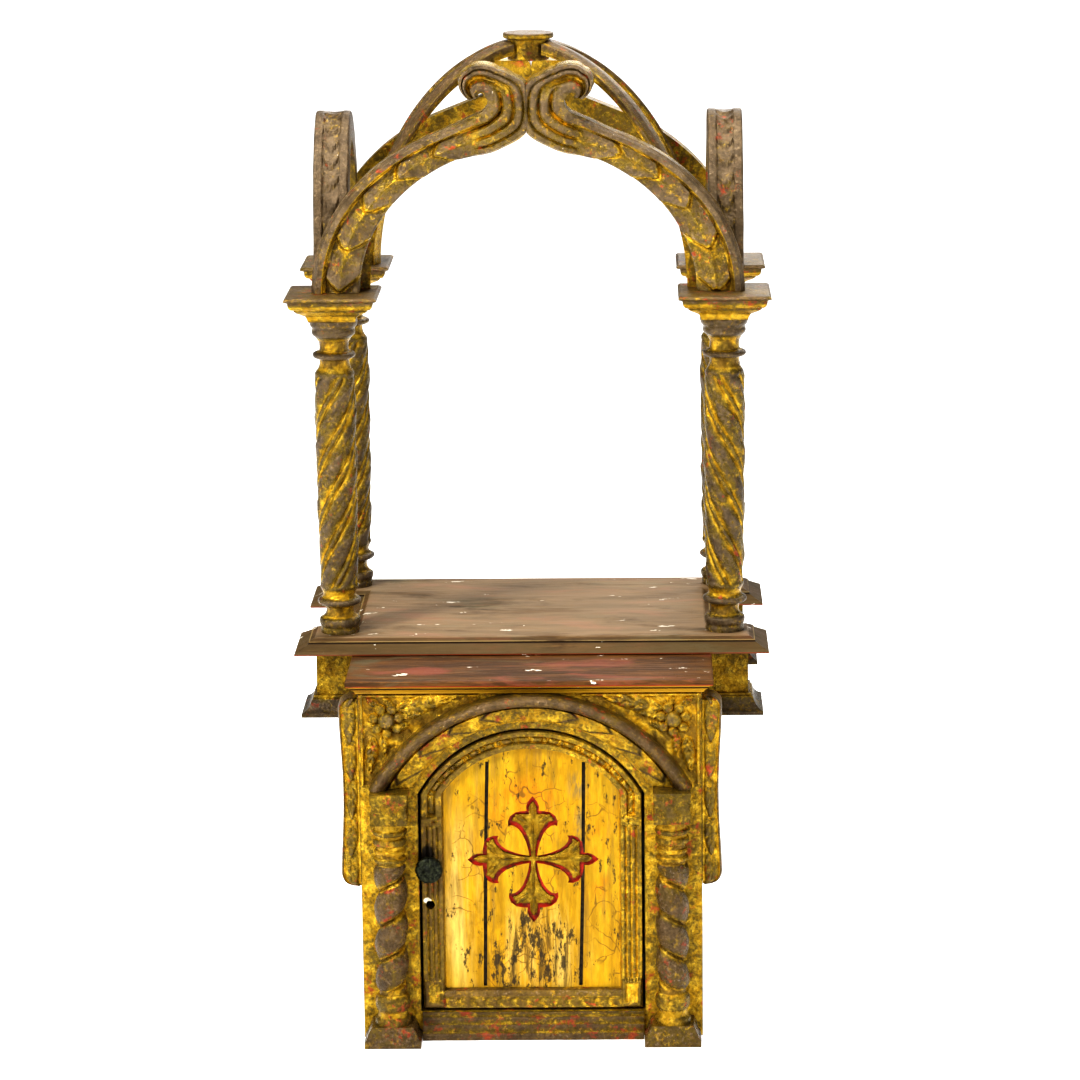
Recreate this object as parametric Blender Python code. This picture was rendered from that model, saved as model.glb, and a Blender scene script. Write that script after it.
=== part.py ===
"""Altar tabernacle in carved, painted and gilded wood.

A cabinet with an arched door carries an open canopy: a moulded platform on four hanging
pedestals, four twisted columns, an ogee arch at the front and the back, a round arch at
each side, and four ribs that meet in a boss. Metres, +Z up; the front faces -Y.
The origin is on the surface that the cabinet stands on, under the middle of the bounding box.
"""

from math import asin, cos, pi, radians, sin, sqrt

import bmesh
import bpy
from mathutils import Vector

GAP = 0.0003  # clearance between pieces that touch

# Plan: half widths along X and places along Y
CANOPY_Y = 0.0665  # middle of the four columns
COLUMN_X = 0.2132
COLUMN_DY = 0.1115
FACADE_Y = -0.1905  # front face of the front board
FACADE_BOARD = 0.022
CABINET_HALF = 0.1855
CABINET_BACK = 0.2040
BOARD = 0.018
BACK_BOARD = 0.016

# Heights
FLOOR_BOARD = 0.024
FACADE_TOP = 0.3905
FLOWER_X = 0.1590
FLOWER_Z = 0.3625
FLOWER_R = 0.0190
SHELF_TOP = 0.4067
PLATFORM_BOTTOM = 0.4072
PLATFORM_TOP = 0.4235
CAPITAL_BOTTOM = 0.7745
SPRING = 0.8035  # top of the square capitals
TOP = 1.0738

# Door, its opening and its panel: an arc on straight sides
DOOR_HALF = 0.1201
DOOR_BOTTOM = 0.0325
DOOR_ARC_Z = 0.2104
DOOR_ARC_R = 0.1367
DOOR_CLEAR = 0.0025
DOOR_THICK = 0.020
PANEL_HALF = 0.095
PANEL_BOTTOM = 0.0543
PANEL_ARC_Z = 0.2078
PANEL_ARC_R = 0.1174
PANEL_SUNK = 0.008
ARC_STEPS = 14
HINGE_R = 0.0009
HINGE_LONG = 0.030
HINGE_ZS = {"lower": 0.0796, "upper": 0.2188}
HINGE_X = DOOR_HALF + DOOR_CLEAR / 2
HINGE_Y = FACADE_Y + HINGE_R
KNOB_X = -0.1112
KNOB_Z = 0.194
KNOB_R = 0.0153
KEYHOLE_X = -0.1108
KEYHOLE_Z = 0.1511
KEYHOLE_R = 0.0050
CROSS_X = 0.0015
CROSS_Z = 0.2005
CROSS_SUNK = 0.004
PLANK_GROOVES = ((-0.0477, 0.2993, -0.0528), (0.0574, 0.3050, 0.0525))  # top x, top z, foot x
GROOVE_FOOT = 0.0601
GROOVE_HALF = 0.0020
GROOVE_SUNK = 0.003
# raised blocks on the upright members: x, half width, bottom, top, height over the front
DOOR_BLOCKS = ((0.1080, 0.0113, 0.0333, 0.0660, 0.0015), (0.1085, 0.0095, 0.2405, 0.2505, 0.0022))
BLOCK_SUNK = 0.006

# Arch over the door
ARCH_SPRING = 0.2870
ARCH_OUTER_R = 0.1987
ARCH_OUTER_Z = 0.1918
ARCH_INNER_R = 0.1482
ARCH_INNER_Z = 0.2104

# Small columns beside the door
COLONETTE_X = 0.1525
COLONETTE_Y = FACADE_Y - 0.0188
COLONETTE_PITCH = 0.040
COLONETTE_OFFSET = 0.0043

# Carved ears on the sides of the cabinet
WING_BOTTOM = 0.172
WING_TOP = 0.384
WING_DEEP = 0.0315
WING_ENDS = 0.1915  # distance from the middle where the rounded ends meet the side
WING_EDGE = 0.2056
WING_WAVE = 0.0019
WING_TOP_ROUND = 0.012
WING_BOTTOM_ROUND = 0.016
WING_LEAVES = 3

# Boards with moulded edges
SHELF_HALF = 0.1977
SHELF_AHEAD = 0.015
SHELF_STEP = 0.0460  # from the middle of a pedestal to the narrow part
PLATFORM_HALF = (0.2610, 0.1620)
PLATFORM_WAIST = 0.2140
PLATFORM_NOTCH = 0.0630

# Canopy: depths are measured from the middle of the canopy
OGEE_NEAR = 0.0920
OGEE_FAR = 0.1280
OGEE_OUTER = (0.2356, 0.1900)  # half span and rise
OGEE_INNER = (0.1835, 0.1580)
OGEE_BEND = radians(66)
EYE_X = 0.049
EYE_Z = 1.017
BACK_EYE_Z = 0.999
SIDE_OUTER = (0.0915, 0.1850)
SIDE_INNER = (0.0600, 0.1520)
SIDE_IN = 0.1966
SIDE_OUT = 0.2351
RIB_WAY = (0.886, 0.463)  # plan direction from the boss to a capital
RIB_OUTER = (0.2095, 0.2635, 1.80)  # reach, rise, and power of the curve
RIB_INNER = (0.1960, 0.2490, 1.95)
RIB_HALF = 0.0135
BOSS_R = 0.0230
BOSS_TOP_R = 0.0280
BOSS_BOTTOM = 1.0436
BOSS_RIM = 1.0672
HUSK_TIP = 0.0008  # how far the tip of a husk stays under the outer curve
COLUMN_PITCH = 0.215

# Volute: turn in degrees from straight under the eye, outer radius, inner radius
VOLUTE = (
    (0, 0.0635, 0.0180),
    (26, 0.0600, 0.0135),
    (52, 0.0640, 0.0100),
    (78, 0.0560, 0.0060),
    (105, 0.0520, 0.0045),
    (126, 0.0400, 0.0040),
    (155, 0.0355, 0.0035),
    (183, 0.0350, 0.0035),
    (205, 0.0345, 0.0035),
    (225, 0.0320, 0.0035),
    (250, 0.0240, 0.0035),
    (270, 0.0170, 0.0032),
    (288, 0.0125, 0.0030),
)

# The same for the lower scrolls at the back, which meet in a flat top
BACK_VOLUTE = (
    (0, 0.0455, 0.0030),
    (26, 0.0438, 0.0030),
    (52, 0.0529, 0.0030),
    (78, 0.0523, 0.0030),
    (105, 0.0505, 0.0040),
    (126, 0.0535, 0.0040),
    (140, 0.0430, 0.0038),
    (155, 0.0365, 0.0035),
    (183, 0.0345, 0.0035),
    (205, 0.0345, 0.0035),
    (225, 0.0320, 0.0035),
    (250, 0.0240, 0.0035),
    (270, 0.0170, 0.0032),
    (288, 0.0125, 0.0030),
)

# Finishes: colour, roughness, metallic
GILT = ((0.42, 0.29, 0.07), 0.42, 0.55)
WORN = ((0.23, 0.17, 0.10), 0.55, 0.20)
PANEL = ((0.80, 0.52, 0.14), 0.40, 0.45)
BARE = ((0.20, 0.13, 0.08), 0.70, 0.0)
IRON = ((0.05, 0.055, 0.05), 0.45, 0.8)


def material(name, finish):
    colour, roughness, metallic = finish
    mat = bpy.data.materials.new(name)
    mat.use_nodes = True
    shader = mat.node_tree.nodes["Principled BSDF"]
    shader.inputs["Base Color"].default_value = (*colour, 1)
    shader.inputs["Roughness"].default_value = roughness
    shader.inputs["Metallic"].default_value = metallic
    mat.diffuse_color = (*colour, 1)
    return mat


def build(name, shells, finish, trims=(), origin=(0, 0, 0)):
    """One object from (vertices, faces) shells; trims are planes (point, outward normal)."""
    bm = bmesh.new()
    for verts, faces in shells:
        made = [bm.verts.new(Vector(v) - Vector(origin)) for v in verts]
        for face in faces:
            bm.faces.new([made[i] for i in face])
    for point, normal in trims:
        everything = bm.verts[:] + bm.edges[:] + bm.faces[:]
        cut = bmesh.ops.bisect_plane(
            bm, geom=everything, plane_co=point, plane_no=normal, clear_outer=True, dist=1e-7
        )
        edges = [g for g in cut["geom_cut"] if isinstance(g, bmesh.types.BMEdge)]
        if edges:
            bmesh.ops.holes_fill(bm, edges=edges, sides=0)
    bmesh.ops.recalc_face_normals(bm, faces=bm.faces[:])
    mesh = bpy.data.meshes.new(name)
    bm.to_mesh(mesh)
    bm.free()
    obj = bpy.data.objects.new(name, mesh)
    obj.location = origin
    obj.data.materials.append(material(name, finish))
    bpy.context.scene.collection.objects.link(obj)
    return obj


def loft(rings, ring_loop=False):
    """A shell through rings of equal length, with flat ends or closed on itself."""
    count = len(rings[0])
    verts = [p for ring in rings for p in ring]
    faces = []
    spans = len(rings) if ring_loop else len(rings) - 1
    for i in range(spans):
        here = i * count
        there = (i + 1) % len(rings) * count
        for k in range(count):
            after = (k + 1) % count
            faces.append((here + k, here + after, there + after, there + k))
    if not ring_loop:
        faces.append(tuple(range(count))[::-1])
        faces.append(tuple(len(verts) - count + k for k in range(count)))
    return verts, faces


def slab(low, high):
    (x0, y0, z0), (x1, y1, z1) = low, high
    return loft([[(x0, y0, z), (x1, y0, z), (x1, y1, z), (x0, y1, z)] for z in (z0, z1)])


def prism(outline, y0, y1):
    """A shell from an outline of (x, z) points, from y0 to y1."""
    return loft([[(x, y, z) for x, z in outline] for y in (y0, y1)])


def cutter(name, shells):
    tool = build(name, shells, BARE)
    tool.hide_render = True
    tool.display_type = "WIRE"
    return tool


def boolean(obj, tool, operation="DIFFERENCE"):
    modifier = obj.modifiers.new(tool.name, "BOOLEAN")
    modifier.operation = operation
    modifier.solver = "EXACT"
    modifier.object = tool


def smooth(obj, angle=35):
    obj.data.shade_smooth()
    obj.data.set_sharp_from_angle(angle=radians(angle))


def make_boards():
    inner = CABINET_HALF - BOARD
    front = FACADE_Y + FACADE_BOARD + GAP
    inside_back = CABINET_BACK - BACK_BOARD
    boards = {
        "cabinet_side_left": ((-CABINET_HALF, front, 0), (-inner, CABINET_BACK, FACADE_TOP)),
        "cabinet_side_right": ((inner, front, 0), (CABINET_HALF, CABINET_BACK, FACADE_TOP)),
        "cabinet_back": (
            (GAP - inner, inside_back, 0),
            (inner - GAP, CABINET_BACK, FACADE_TOP),
        ),
        "cabinet_floor": (
            (GAP - inner, front, 0),
            (inner - GAP, inside_back - GAP, FLOOR_BOARD),
        ),
    }
    for name, (low, high) in boards.items():
        build(name, [slab(low, high)], BARE)


def shelf_plan(inset):
    """The board on the cabinet: wide ahead of the pedestals, narrow between them."""
    wide = SHELF_HALF - inset
    narrow = CABINET_HALF - GAP - min(inset, 0.004)
    front = FACADE_Y - SHELF_AHEAD + inset
    step = CANOPY_Y - COLUMN_DY - SHELF_STEP - inset
    return (
        (-wide, front), (wide, front), (wide, step), (narrow, step),
        (narrow, CABINET_BACK), (-narrow, CABINET_BACK), (-narrow, step), (-wide, step),
    )


def make_shelf():
    profile = (
        (0.0100, FACADE_TOP + GAP), (0.0095, 0.3935), (0.0050, 0.3965), (0.0042, 0.3992),
        (0.0005, 0.4006), (0.0000, 0.4020), (0.0000, 0.4058), (0.0010, SHELF_TOP),
    )
    rings = [[(x, y, z) for x, y in shelf_plan(inset)] for inset, z in profile]
    build("cabinet_top", [loft(rings)], WORN)


def arched(half, bottom, radius, centre_z):
    """Outline from the bottom left corner, up the left side, over the arc and down."""
    reach = asin(half / radius)
    points = [(-half, bottom)]
    for i in range(ARC_STEPS + 1):
        angle = -reach + 2 * reach * i / ARC_STEPS
        points.append((radius * sin(angle), centre_z + radius * cos(angle)))
    points.append((half, bottom))
    return points


def flower(x, z, reach, petals, sign):
    """A carved flower between four leaves on the front board; its foot is sunk in the wood."""
    sides = petals * 3
    rows = ((1.00, -0.0015), (0.95, 0.0040), (0.60, 0.0085), (0.34, 0.0040), (0.22, 0.0090))
    rings = []
    for share, rise in rows:
        ring = []
        for k in range(sides):
            angle = 2 * pi * k / sides
            lobe = 1 + 0.16 * cos(petals * angle) * (share > 0.3)
            corner = 1 + 0.10 * cos(2 * angle - sign * pi / 2) * (share > 0.9)
            radius = reach * share * lobe * corner
            ring.append((x + radius * sin(angle), FACADE_Y - rise, z + radius * cos(angle)))
        rings.append(ring)
    return loft(rings)


def make_facade():
    half = DOOR_HALF + DOOR_CLEAR
    inner = arched(half, DOOR_BOTTOM - DOOR_CLEAR, DOOR_ARC_R + DOOR_CLEAR, DOOR_ARC_Z)
    last = len(inner) - 1
    corner = 3  # the outer corner of the board stands against this point of the arc
    rings = []
    for k, (x, z) in enumerate(inner):
        side = -1 if k < last / 2 else 1
        place = min(k, last - k)
        if place == 0:
            outer = (side * CABINET_HALF, 0)
        elif place <= corner:
            low = inner[1][1]
            share = (place - 1) / (corner - 1)
            outer = (side * CABINET_HALF, low + (FACADE_TOP - low) * share)
        else:
            across = (k - corner) / (last - 2 * corner)
            outer = (CABINET_HALF * (2 * across - 1), FACADE_TOP)
        back = FACADE_Y + FACADE_BOARD
        rings.append([
            (x, FACADE_Y, z), (outer[0], FACADE_Y, outer[1]), (outer[0], back, outer[1]), (x, back, z),
        ])
    facade = build("facade", [loft(rings, ring_loop=True)], GILT)
    flowers = [flower(side * FLOWER_X, FLOWER_Z, FLOWER_R, 5, side) for side in (-1, 1)]
    boolean(facade, cutter("facade_flowers", flowers), "UNION")


def make_archivolt():
    outer_reach = asin(sqrt(ARCH_OUTER_R ** 2 - (ARCH_SPRING - ARCH_OUTER_Z) ** 2) / ARCH_OUTER_R)
    inner_reach = asin(sqrt(ARCH_INNER_R ** 2 - (ARCH_SPRING - ARCH_INNER_Z) ** 2) / ARCH_INNER_R)
    # share of the way from the inner edge to the outer edge, how far it stands proud
    section = (
        (0.00, -GAP), (0.00, 0.0060), (0.20, 0.0110), (0.42, 0.0155), (0.58, 0.0120),
        (0.67, 0.0215), (0.76, 0.0262), (0.90, 0.0255), (1.00, 0.0165), (1.00, -GAP),
    )
    rings = []
    steps = 16
    for i in range(steps + 1):
        turn = 2 * i / steps - 1
        a, b = inner_reach * turn, outer_reach * turn
        near = (ARCH_INNER_R * sin(a), ARCH_INNER_Z + ARCH_INNER_R * cos(a))
        far = (ARCH_OUTER_R * sin(b), ARCH_OUTER_Z + ARCH_OUTER_R * cos(b))
        far = (far[0], min(far[1], FACADE_TOP - GAP))
        ring = []
        for share, proud in section:
            x = near[0] + (far[0] - near[0]) * share
            z = near[1] + (far[1] - near[1]) * share
            y = FACADE_Y - GAP if proud < 0 else FACADE_Y - proud
            ring.append((x, y, z))
        rings.append(ring)
    smooth(build("archivolt", [loft(rings)], WORN))


def squared(half, angle, square):
    """A point at an angle on a circle, or on the square around it."""
    reach = max(abs(cos(angle)), abs(sin(angle))) if square else 1
    return half * cos(angle) / reach, half * sin(angle) / reach


def make_colonette(side, hand):
    x0 = hand * COLONETTE_X
    # height, half width, square or round
    foot = (
        (0.0000, 0.0310, True), (0.0083, 0.0310, True), (0.0095, 0.0290, True),
        (0.0232, 0.0230, True), (0.0240, 0.0195, False), (0.0310, 0.0195, False),
        (0.0360, 0.0162, False), (0.0440, 0.0189, False), (0.0545, 0.0189, False),
    )
    head = (
        (0.2095, 0.0180, False), (0.2125, 0.0180, False), (0.2150, 0.0148, False),
        (0.2195, 0.0168, False), (0.2240, 0.0150, False), (0.2285, 0.0184, False),
        (0.2335, 0.0184, False), (0.2365, 0.0155, False), (0.2395, 0.0188, False),
        (0.2440, 0.0184, False), (0.2521, 0.0162, True), (0.2523, 0.0200, True),
        (0.2650, 0.0200, True), (0.2675, 0.0182, True), (0.2745, 0.0182, True),
        (0.2770, 0.0205, True), (ARCH_SPRING - GAP, 0.0205, True),
    )
    low, high = 0.0600, 0.2060
    turns = 17
    rows = [(z, half, square, 0, 0) for z, half, square in foot]
    for i in range(turns + 1):
        z = low + (high - low) * i / turns
        turn = hand * -2 * pi * (z - low) / COLONETTE_PITCH
        offset = COLONETTE_OFFSET
        rows.append((z, 0.0140, False, offset * cos(turn), offset * sin(turn)))
    rows += [(z, half, square, 0, 0) for z, half, square in head]
    rings = []
    for z, half, square, dx, dy in rows:
        ring = []
        for k in range(12):
            u, v = squared(half, radians(45 + 30 * k), square)
            ring.append((x0 + u + dx, COLONETTE_Y + v + dy, z))
        rings.append(ring)
    front = ((0, -0.2285, 0), (0, -1, 0))
    behind = ((0, FACADE_Y - GAP, 0), (0, 1, 0))
    smooth(build(f"colonette_{side}", [loft(rings)], WORN, (front, behind)), 40)


def make_sill():
    half = COLONETTE_X - 0.0310 - GAP
    # depth ahead of the front board, height
    profile = (
        (0, 0.0000), (0.0120, 0.0000), (0.0120, 0.0070), (0.0095, 0.0085), (0.0085, 0.0150),
        (0.0060, 0.0165), (0.0060, 0.0225), (0.0035, 0.0240), (0.0030, 0.0290), (0, 0.0290),
    )
    rings = [[(x, FACADE_Y - GAP - y, z) for y, z in profile] for x in (-half, half)]
    build("sill", [loft(rings)], GILT)


def wing_reach(z):
    """Distance from the middle to the outer edge of a wing at a height."""
    over = max(0, z - WING_TOP + WING_TOP_ROUND) / WING_TOP_ROUND
    under = max(0, WING_BOTTOM + WING_BOTTOM_ROUND - z) / WING_BOTTOM_ROUND
    middle = WING_EDGE + WING_WAVE * cos(2 * pi * (z - WING_BOTTOM) / (WING_TOP - WING_BOTTOM))
    return WING_ENDS + (middle - WING_ENDS) * sqrt(max(0, 1 - max(over, under) ** 2))


def make_wing(side, hand):
    """Ear on the side of the cabinet, rounded at both ends and carved with three long leaves."""
    near = CABINET_HALF + GAP
    front = FACADE_Y + 0.002
    back = front + WING_DEEP
    leaf = (WING_TOP - WING_BOTTOM) / WING_LEAVES
    heights = [WING_BOTTOM, WING_BOTTOM + 0.005]
    for i in range(WING_LEAVES):
        low = WING_BOTTOM + i * leaf
        heights += [low + leaf * share for share in (0.20, 0.45, 0.70, 0.93)]
    heights += [WING_TOP - 0.001, WING_TOP]
    rings = []
    for z in heights:
        far = wing_reach(z)
        swell = sin(pi * min(1, (z - WING_BOTTOM) / leaf % 1 + 0.08))
        ring = [(near, back), (far, back), (far, front + 0.006)]
        ring += [(near + (far - near) * 0.80, front + 0.001)]
        ring += [(near + (far - near) * 0.45, front - 0.0035 * swell), (near, front + 0.001)]
        rings.append([(hand * x, y, z) for x, y in ring])
    smooth(build(f"wing_{side}", [loft(rings)], GILT))


def cross_outline():
    """A cross whose four arms end in three petals."""
    # half width of an arm at a distance from the middle, up one side
    arm = (
        (0.0045, 0.0045), (0.0045, 0.0340), (0.0110, 0.0375), (0.0200, 0.0350),
        (0.0262, 0.0410), (0.0225, 0.0500), (0.0120, 0.0535), (0.0085, 0.0620), (0.0000, 0.0725),
    )
    points = []
    for quarter in range(4):
        turn = quarter * pi / 2
        whole = [(-w, d) for w, d in arm] + [(w, d) for w, d in arm[-2:0:-1]]
        for w, d in whole:
            points.append((
                CROSS_X + w * cos(turn) + d * sin(turn), CROSS_Z - w * sin(turn) + d * cos(turn)
            ))
    return points


def make_door():
    outer = arched(DOOR_HALF, DOOR_BOTTOM, DOOR_ARC_R, DOOR_ARC_Z)
    panel = arched(PANEL_HALF, PANEL_BOTTOM, PANEL_ARC_R, PANEL_ARC_Z)
    # share of the way from the edge to the panel, depth behind the front
    frame = (
        (0.00, DOOR_THICK), (0.00, 0.0000), (0.22, 0.0000), (0.29, 0.0025), (0.36, 0.0002),
        (0.56, 0.0002), (0.63, 0.0025), (0.70, 0.0000), (0.86, 0.0000), (1.00, PANEL_SUNK),
    )
    rings = []
    for share, depth in frame:
        rings.append([
            (a[0] + (b[0] - a[0]) * share, FACADE_Y + depth, a[1] + (b[1] - a[1]) * share)
            for a, b in zip(outer, panel)
        ])
    origin = (HINGE_X, HINGE_Y, DOOR_BOTTOM)
    door = build("door", [loft(rings)], PANEL, origin=origin)

    blocks = []
    for side in (-1, 1):
        for x, half, bottom, top, rise in DOOR_BLOCKS:
            low = (side * x - half, FACADE_Y - rise, bottom)
            high = (side * x + half, FACADE_Y + BLOCK_SUNK, top)
            blocks.append(slab(low, high))
    boolean(door, cutter("door_blocks", blocks), "UNION")

    floor = FACADE_Y + PANEL_SUNK
    grooves = []
    for top_x, top_z, low_x in PLANK_GROOVES:
        outline = [
            (low_x - GROOVE_HALF, GROOVE_FOOT), (low_x + GROOVE_HALF, GROOVE_FOOT),
            (top_x + GROOVE_HALF, top_z), (top_x - GROOVE_HALF, top_z),
        ]
        grooves.append(prism(outline, floor - 0.002, floor + GROOVE_SUNK))
    boolean(door, cutter("door_grooves", grooves))
    cross = prism(cross_outline(), floor - 0.003, floor + CROSS_SUNK)
    boolean(door, cutter("door_cross", [cross]))
    keyhole = [
        (KEYHOLE_X + KEYHOLE_R * sin(a), KEYHOLE_Z + KEYHOLE_R * cos(a))
        for a in [2 * pi * k / 12 for k in range(12)]
    ]
    boolean(door, cutter("door_keyhole", [prism(keyhole, FACADE_Y - 0.01, FACADE_Y + 0.03)]))
    return door


def make_knob(door):
    # distance ahead of the door, radius, depth of the petals
    rows = (
        (GAP, 0.0075, 0), (0.0040, 0.0065, 0), (0.0055, 0.0130, 0.0012), (0.0090, KNOB_R, 0.0014),
        (0.0125, 0.0138, 0.0014), (0.0145, 0.0085, 0.0010), (0.0132, 0.0060, 0), (0.0165, 0.0042, 0),
    )
    sides = 12
    rings = []
    for ahead, radius, petal in rows:
        ring = []
        for k in range(sides):
            a = 2 * pi * k / sides
            r = radius - petal * (k % 2)
            ring.append((KNOB_X + r * sin(a), FACADE_Y - ahead, KNOB_Z + r * cos(a)))
        rings.append(ring)
    origin = (KNOB_X, FACADE_Y, KNOB_Z)
    knob = build("knob", [loft(rings)], IRON, origin=origin)
    knob.parent = door
    knob.location = Vector(origin) - door.location
    smooth(knob, 50)


def make_hinges():
    for name, z in HINGE_ZS.items():
        rings = []
        for end in (-HINGE_LONG / 2, HINGE_LONG / 2):
            rings.append([
                (HINGE_X + HINGE_R * cos(a), HINGE_Y + HINGE_R * sin(a), z + end)
                for a in [2 * pi * k / 12 for k in range(12)]
            ])
        smooth(build(f"hinge_{name}", [loft(rings)], IRON))


def platform_plan(inset):
    """A slab whose long sides are straight and whose ends are notched in the middle."""
    x = PLATFORM_HALF[0] - inset
    y = PLATFORM_HALF[1] - inset
    waist = PLATFORM_WAIST - inset
    notch = PLATFORM_NOTCH + inset
    return [
        (-x, -y), (x, -y), (x, -notch), (waist, -notch), (waist, notch), (x, notch),
        (x, y), (-x, y), (-x, notch), (-waist, notch), (-waist, -notch), (-x, -notch),
    ]


def make_platform():
    profile = (
        (0.0000, PLATFORM_BOTTOM + GAP), (0.0000, 0.4095), (0.0030, 0.4125), (0.0080, 0.4147),
        (0.0085, 0.4153), (0.0120, 0.4175), (0.0170, 0.4210), (0.0210, 0.4232), (0.0230, PLATFORM_TOP),
    )
    rings = [[(x, CANOPY_Y + y, z) for x, y in platform_plan(inset)] for inset, z in profile]
    build("platform", [loft(rings)], WORN)


def make_pedestal(name, sx, sy):
    """Hanging pedestal whose inner side lies against the cabinet."""
    rows = (
        (0.0410, 0.3350), (0.0420, 0.3358), (0.0420, 0.3392), (0.0362, 0.3420), (0.0322, 0.3480),
        (0.0308, 0.3535), (0.0290, 0.3540), (0.0290, 0.3572), (0.0255, 0.3578), (0.0255, 0.4035),
        (0.0275, 0.4045), (0.0275, PLATFORM_BOTTOM),
    )
    near = CABINET_HALF + GAP
    rings = []
    for half, z in rows:
        far = COLUMN_X + half
        y0 = CANOPY_Y + sy * COLUMN_DY - half
        y1 = CANOPY_Y + sy * COLUMN_DY + half
        rings.append([(sx * near, y0, z), (sx * far, y0, z), (sx * far, y1, z), (sx * near, y1, z)])
    build(f"pedestal_{name}", [loft(rings)], GILT)


def make_column(name, sx, sy):
    foot = (
        (PLATFORM_TOP + GAP, 0.0215), (0.4298, 0.0215), (0.4340, 0.0227), (0.4390, 0.0226),
        (0.4440, 0.0165), (0.4545, 0.0165), (0.4568, 0.0241), (0.4615, 0.0241), (0.4669, 0.0171),
    )
    head = (
        (0.7210, 0.0168), (0.7310, 0.0162), (0.7328, 0.0234), (0.7368, 0.0234), (0.7400, 0.0160),
        (0.7500, 0.0160), (0.7585, 0.0238), (0.7640, 0.0228), (0.7690, 0.0260),
        (CAPITAL_BOTTOM - GAP, 0.0264),
    )
    low, high = 0.4760, 0.7132
    turns = 8
    rows = [(z, radius, 0) for z, radius in foot]
    for i in range(turns + 1):
        share = i / turns
        rows.append((low + (high - low) * share, 0.0220 + 0.0015 * share, 0.0036))
    rows += [(z, radius, 0) for z, radius in head]
    rings = []
    for z, radius, groove in rows:
        climb = min(max(z, low), high) - low
        twist = -sx * 2 * pi * climb / COLUMN_PITCH
        ring = []
        for k in range(12):
            r = radius - groove * (k % 3 == 0)
            a = 2 * pi * k / 12 + twist
            ring.append((sx * COLUMN_X + r * cos(a), CANOPY_Y + sy * COLUMN_DY + r * sin(a), z))
        rings.append(ring)
    smooth(build(f"column_{name}", [loft(rings)], GILT), 40)


def make_capital(name, sx, sy):
    rows = (
        (0.0255, CAPITAL_BOTTOM), (0.0274, 0.7800), (0.0310, 0.7840), (0.0400, 0.7888),
        (0.0410, 0.7900), (0.0440, 0.7915), (0.0460, 0.7968), (0.0460, 0.7985), (0.0505, 0.8003),
        (0.0505, 0.8015), (0.0475, SPRING),
    )
    x0, y0 = sx * COLUMN_X, CANOPY_Y + sy * COLUMN_DY
    rings = []
    for h, z in rows:
        rings.append([(x0 - h, y0 - h, z), (x0 + h, y0 - h, z), (x0 + h, y0 + h, z), (x0 - h, y0 + h, z)])
    build(f"capital_{name}", [loft(rings)], WORN)


def ogee_stations(leaves, volute, eye_z):
    """Pairs of outer and inner points (x, z) from the foot to the end of the volute."""
    stations = []
    steps = leaves * 3
    for i in range(steps + 1):
        t = OGEE_BEND * i / steps
        outer = (OGEE_OUTER[0] * cos(t), SPRING + GAP + OGEE_OUTER[1] * sin(t))
        inner = (OGEE_INNER[0] * cos(t), SPRING + GAP + OGEE_INNER[1] * sin(t))
        stations.append((outer, inner, i))
    for turn, far, near in volute:
        a = radians(turn)
        direction = (-sin(a), -cos(a))
        outer = (EYE_X + near * direction[0], eye_z + near * direction[1])
        inner = (EYE_X + far * direction[0], eye_z + far * direction[1])
        stations.append((outer, inner, -1))
    return stations


def make_ogee(name, hand, facing, finish, section, leaves, leaf):
    """Half of an ogee arch; facing is -1 at the front and 1 at the back."""
    scroll = (BACK_VOLUTE, BACK_EYE_Z) if facing > 0 else (VOLUTE, EYE_Z)
    rings = []
    for outer, inner, place in ogee_stations(leaves, *scroll):
        swell = (place % 3) / 2 if place >= 0 else 0.5
        ring = []
        for share, drop, carved in section:
            x = outer[0] + (inner[0] - outer[0]) * share
            z = outer[1] + (inner[1] - outer[1]) * share
            depth = OGEE_NEAR if drop is None else OGEE_FAR - drop + carved * leaf * swell
            ring.append((hand * x, CANOPY_Y + facing * depth, z))
        rings.append(ring)
    seam = ((hand * GAP / 2, 0, 0), (-hand, 0, 0))
    smooth(build(name, [loft(rings)], finish, (seam,)), 40)


def make_ogees():
    # share of the way from the outer edge to the inner one, drop from the face, carved or not
    rich = (
        (0.00, None, 0), (0.00, 0.0080, 0), (0.10, 0.0020, 0), (0.24, 0.0020, 0), (0.30, 0.0080, 0),
        (0.52, 0.0060, 0.8), (0.76, 0.0060, 0.8), (1.00, 0.0100, 0), (1.00, None, 0),
    )
    plain = (
        (0.00, None, 0), (0.00, 0.0060, 0), (0.20, 0.0000, 0), (0.34, 0.0040, 0),
        (1.00, 0.0060, 0), (1.00, None, 0),
    )
    for side, hand in (("left", -1), ("right", 1)):
        make_ogee(f"front_arch_{side}", hand, -1, GILT, rich, 5, 0.0075)
        make_ogee(f"back_arch_{side}", hand, 1, BARE, plain, 3, 0)


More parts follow.
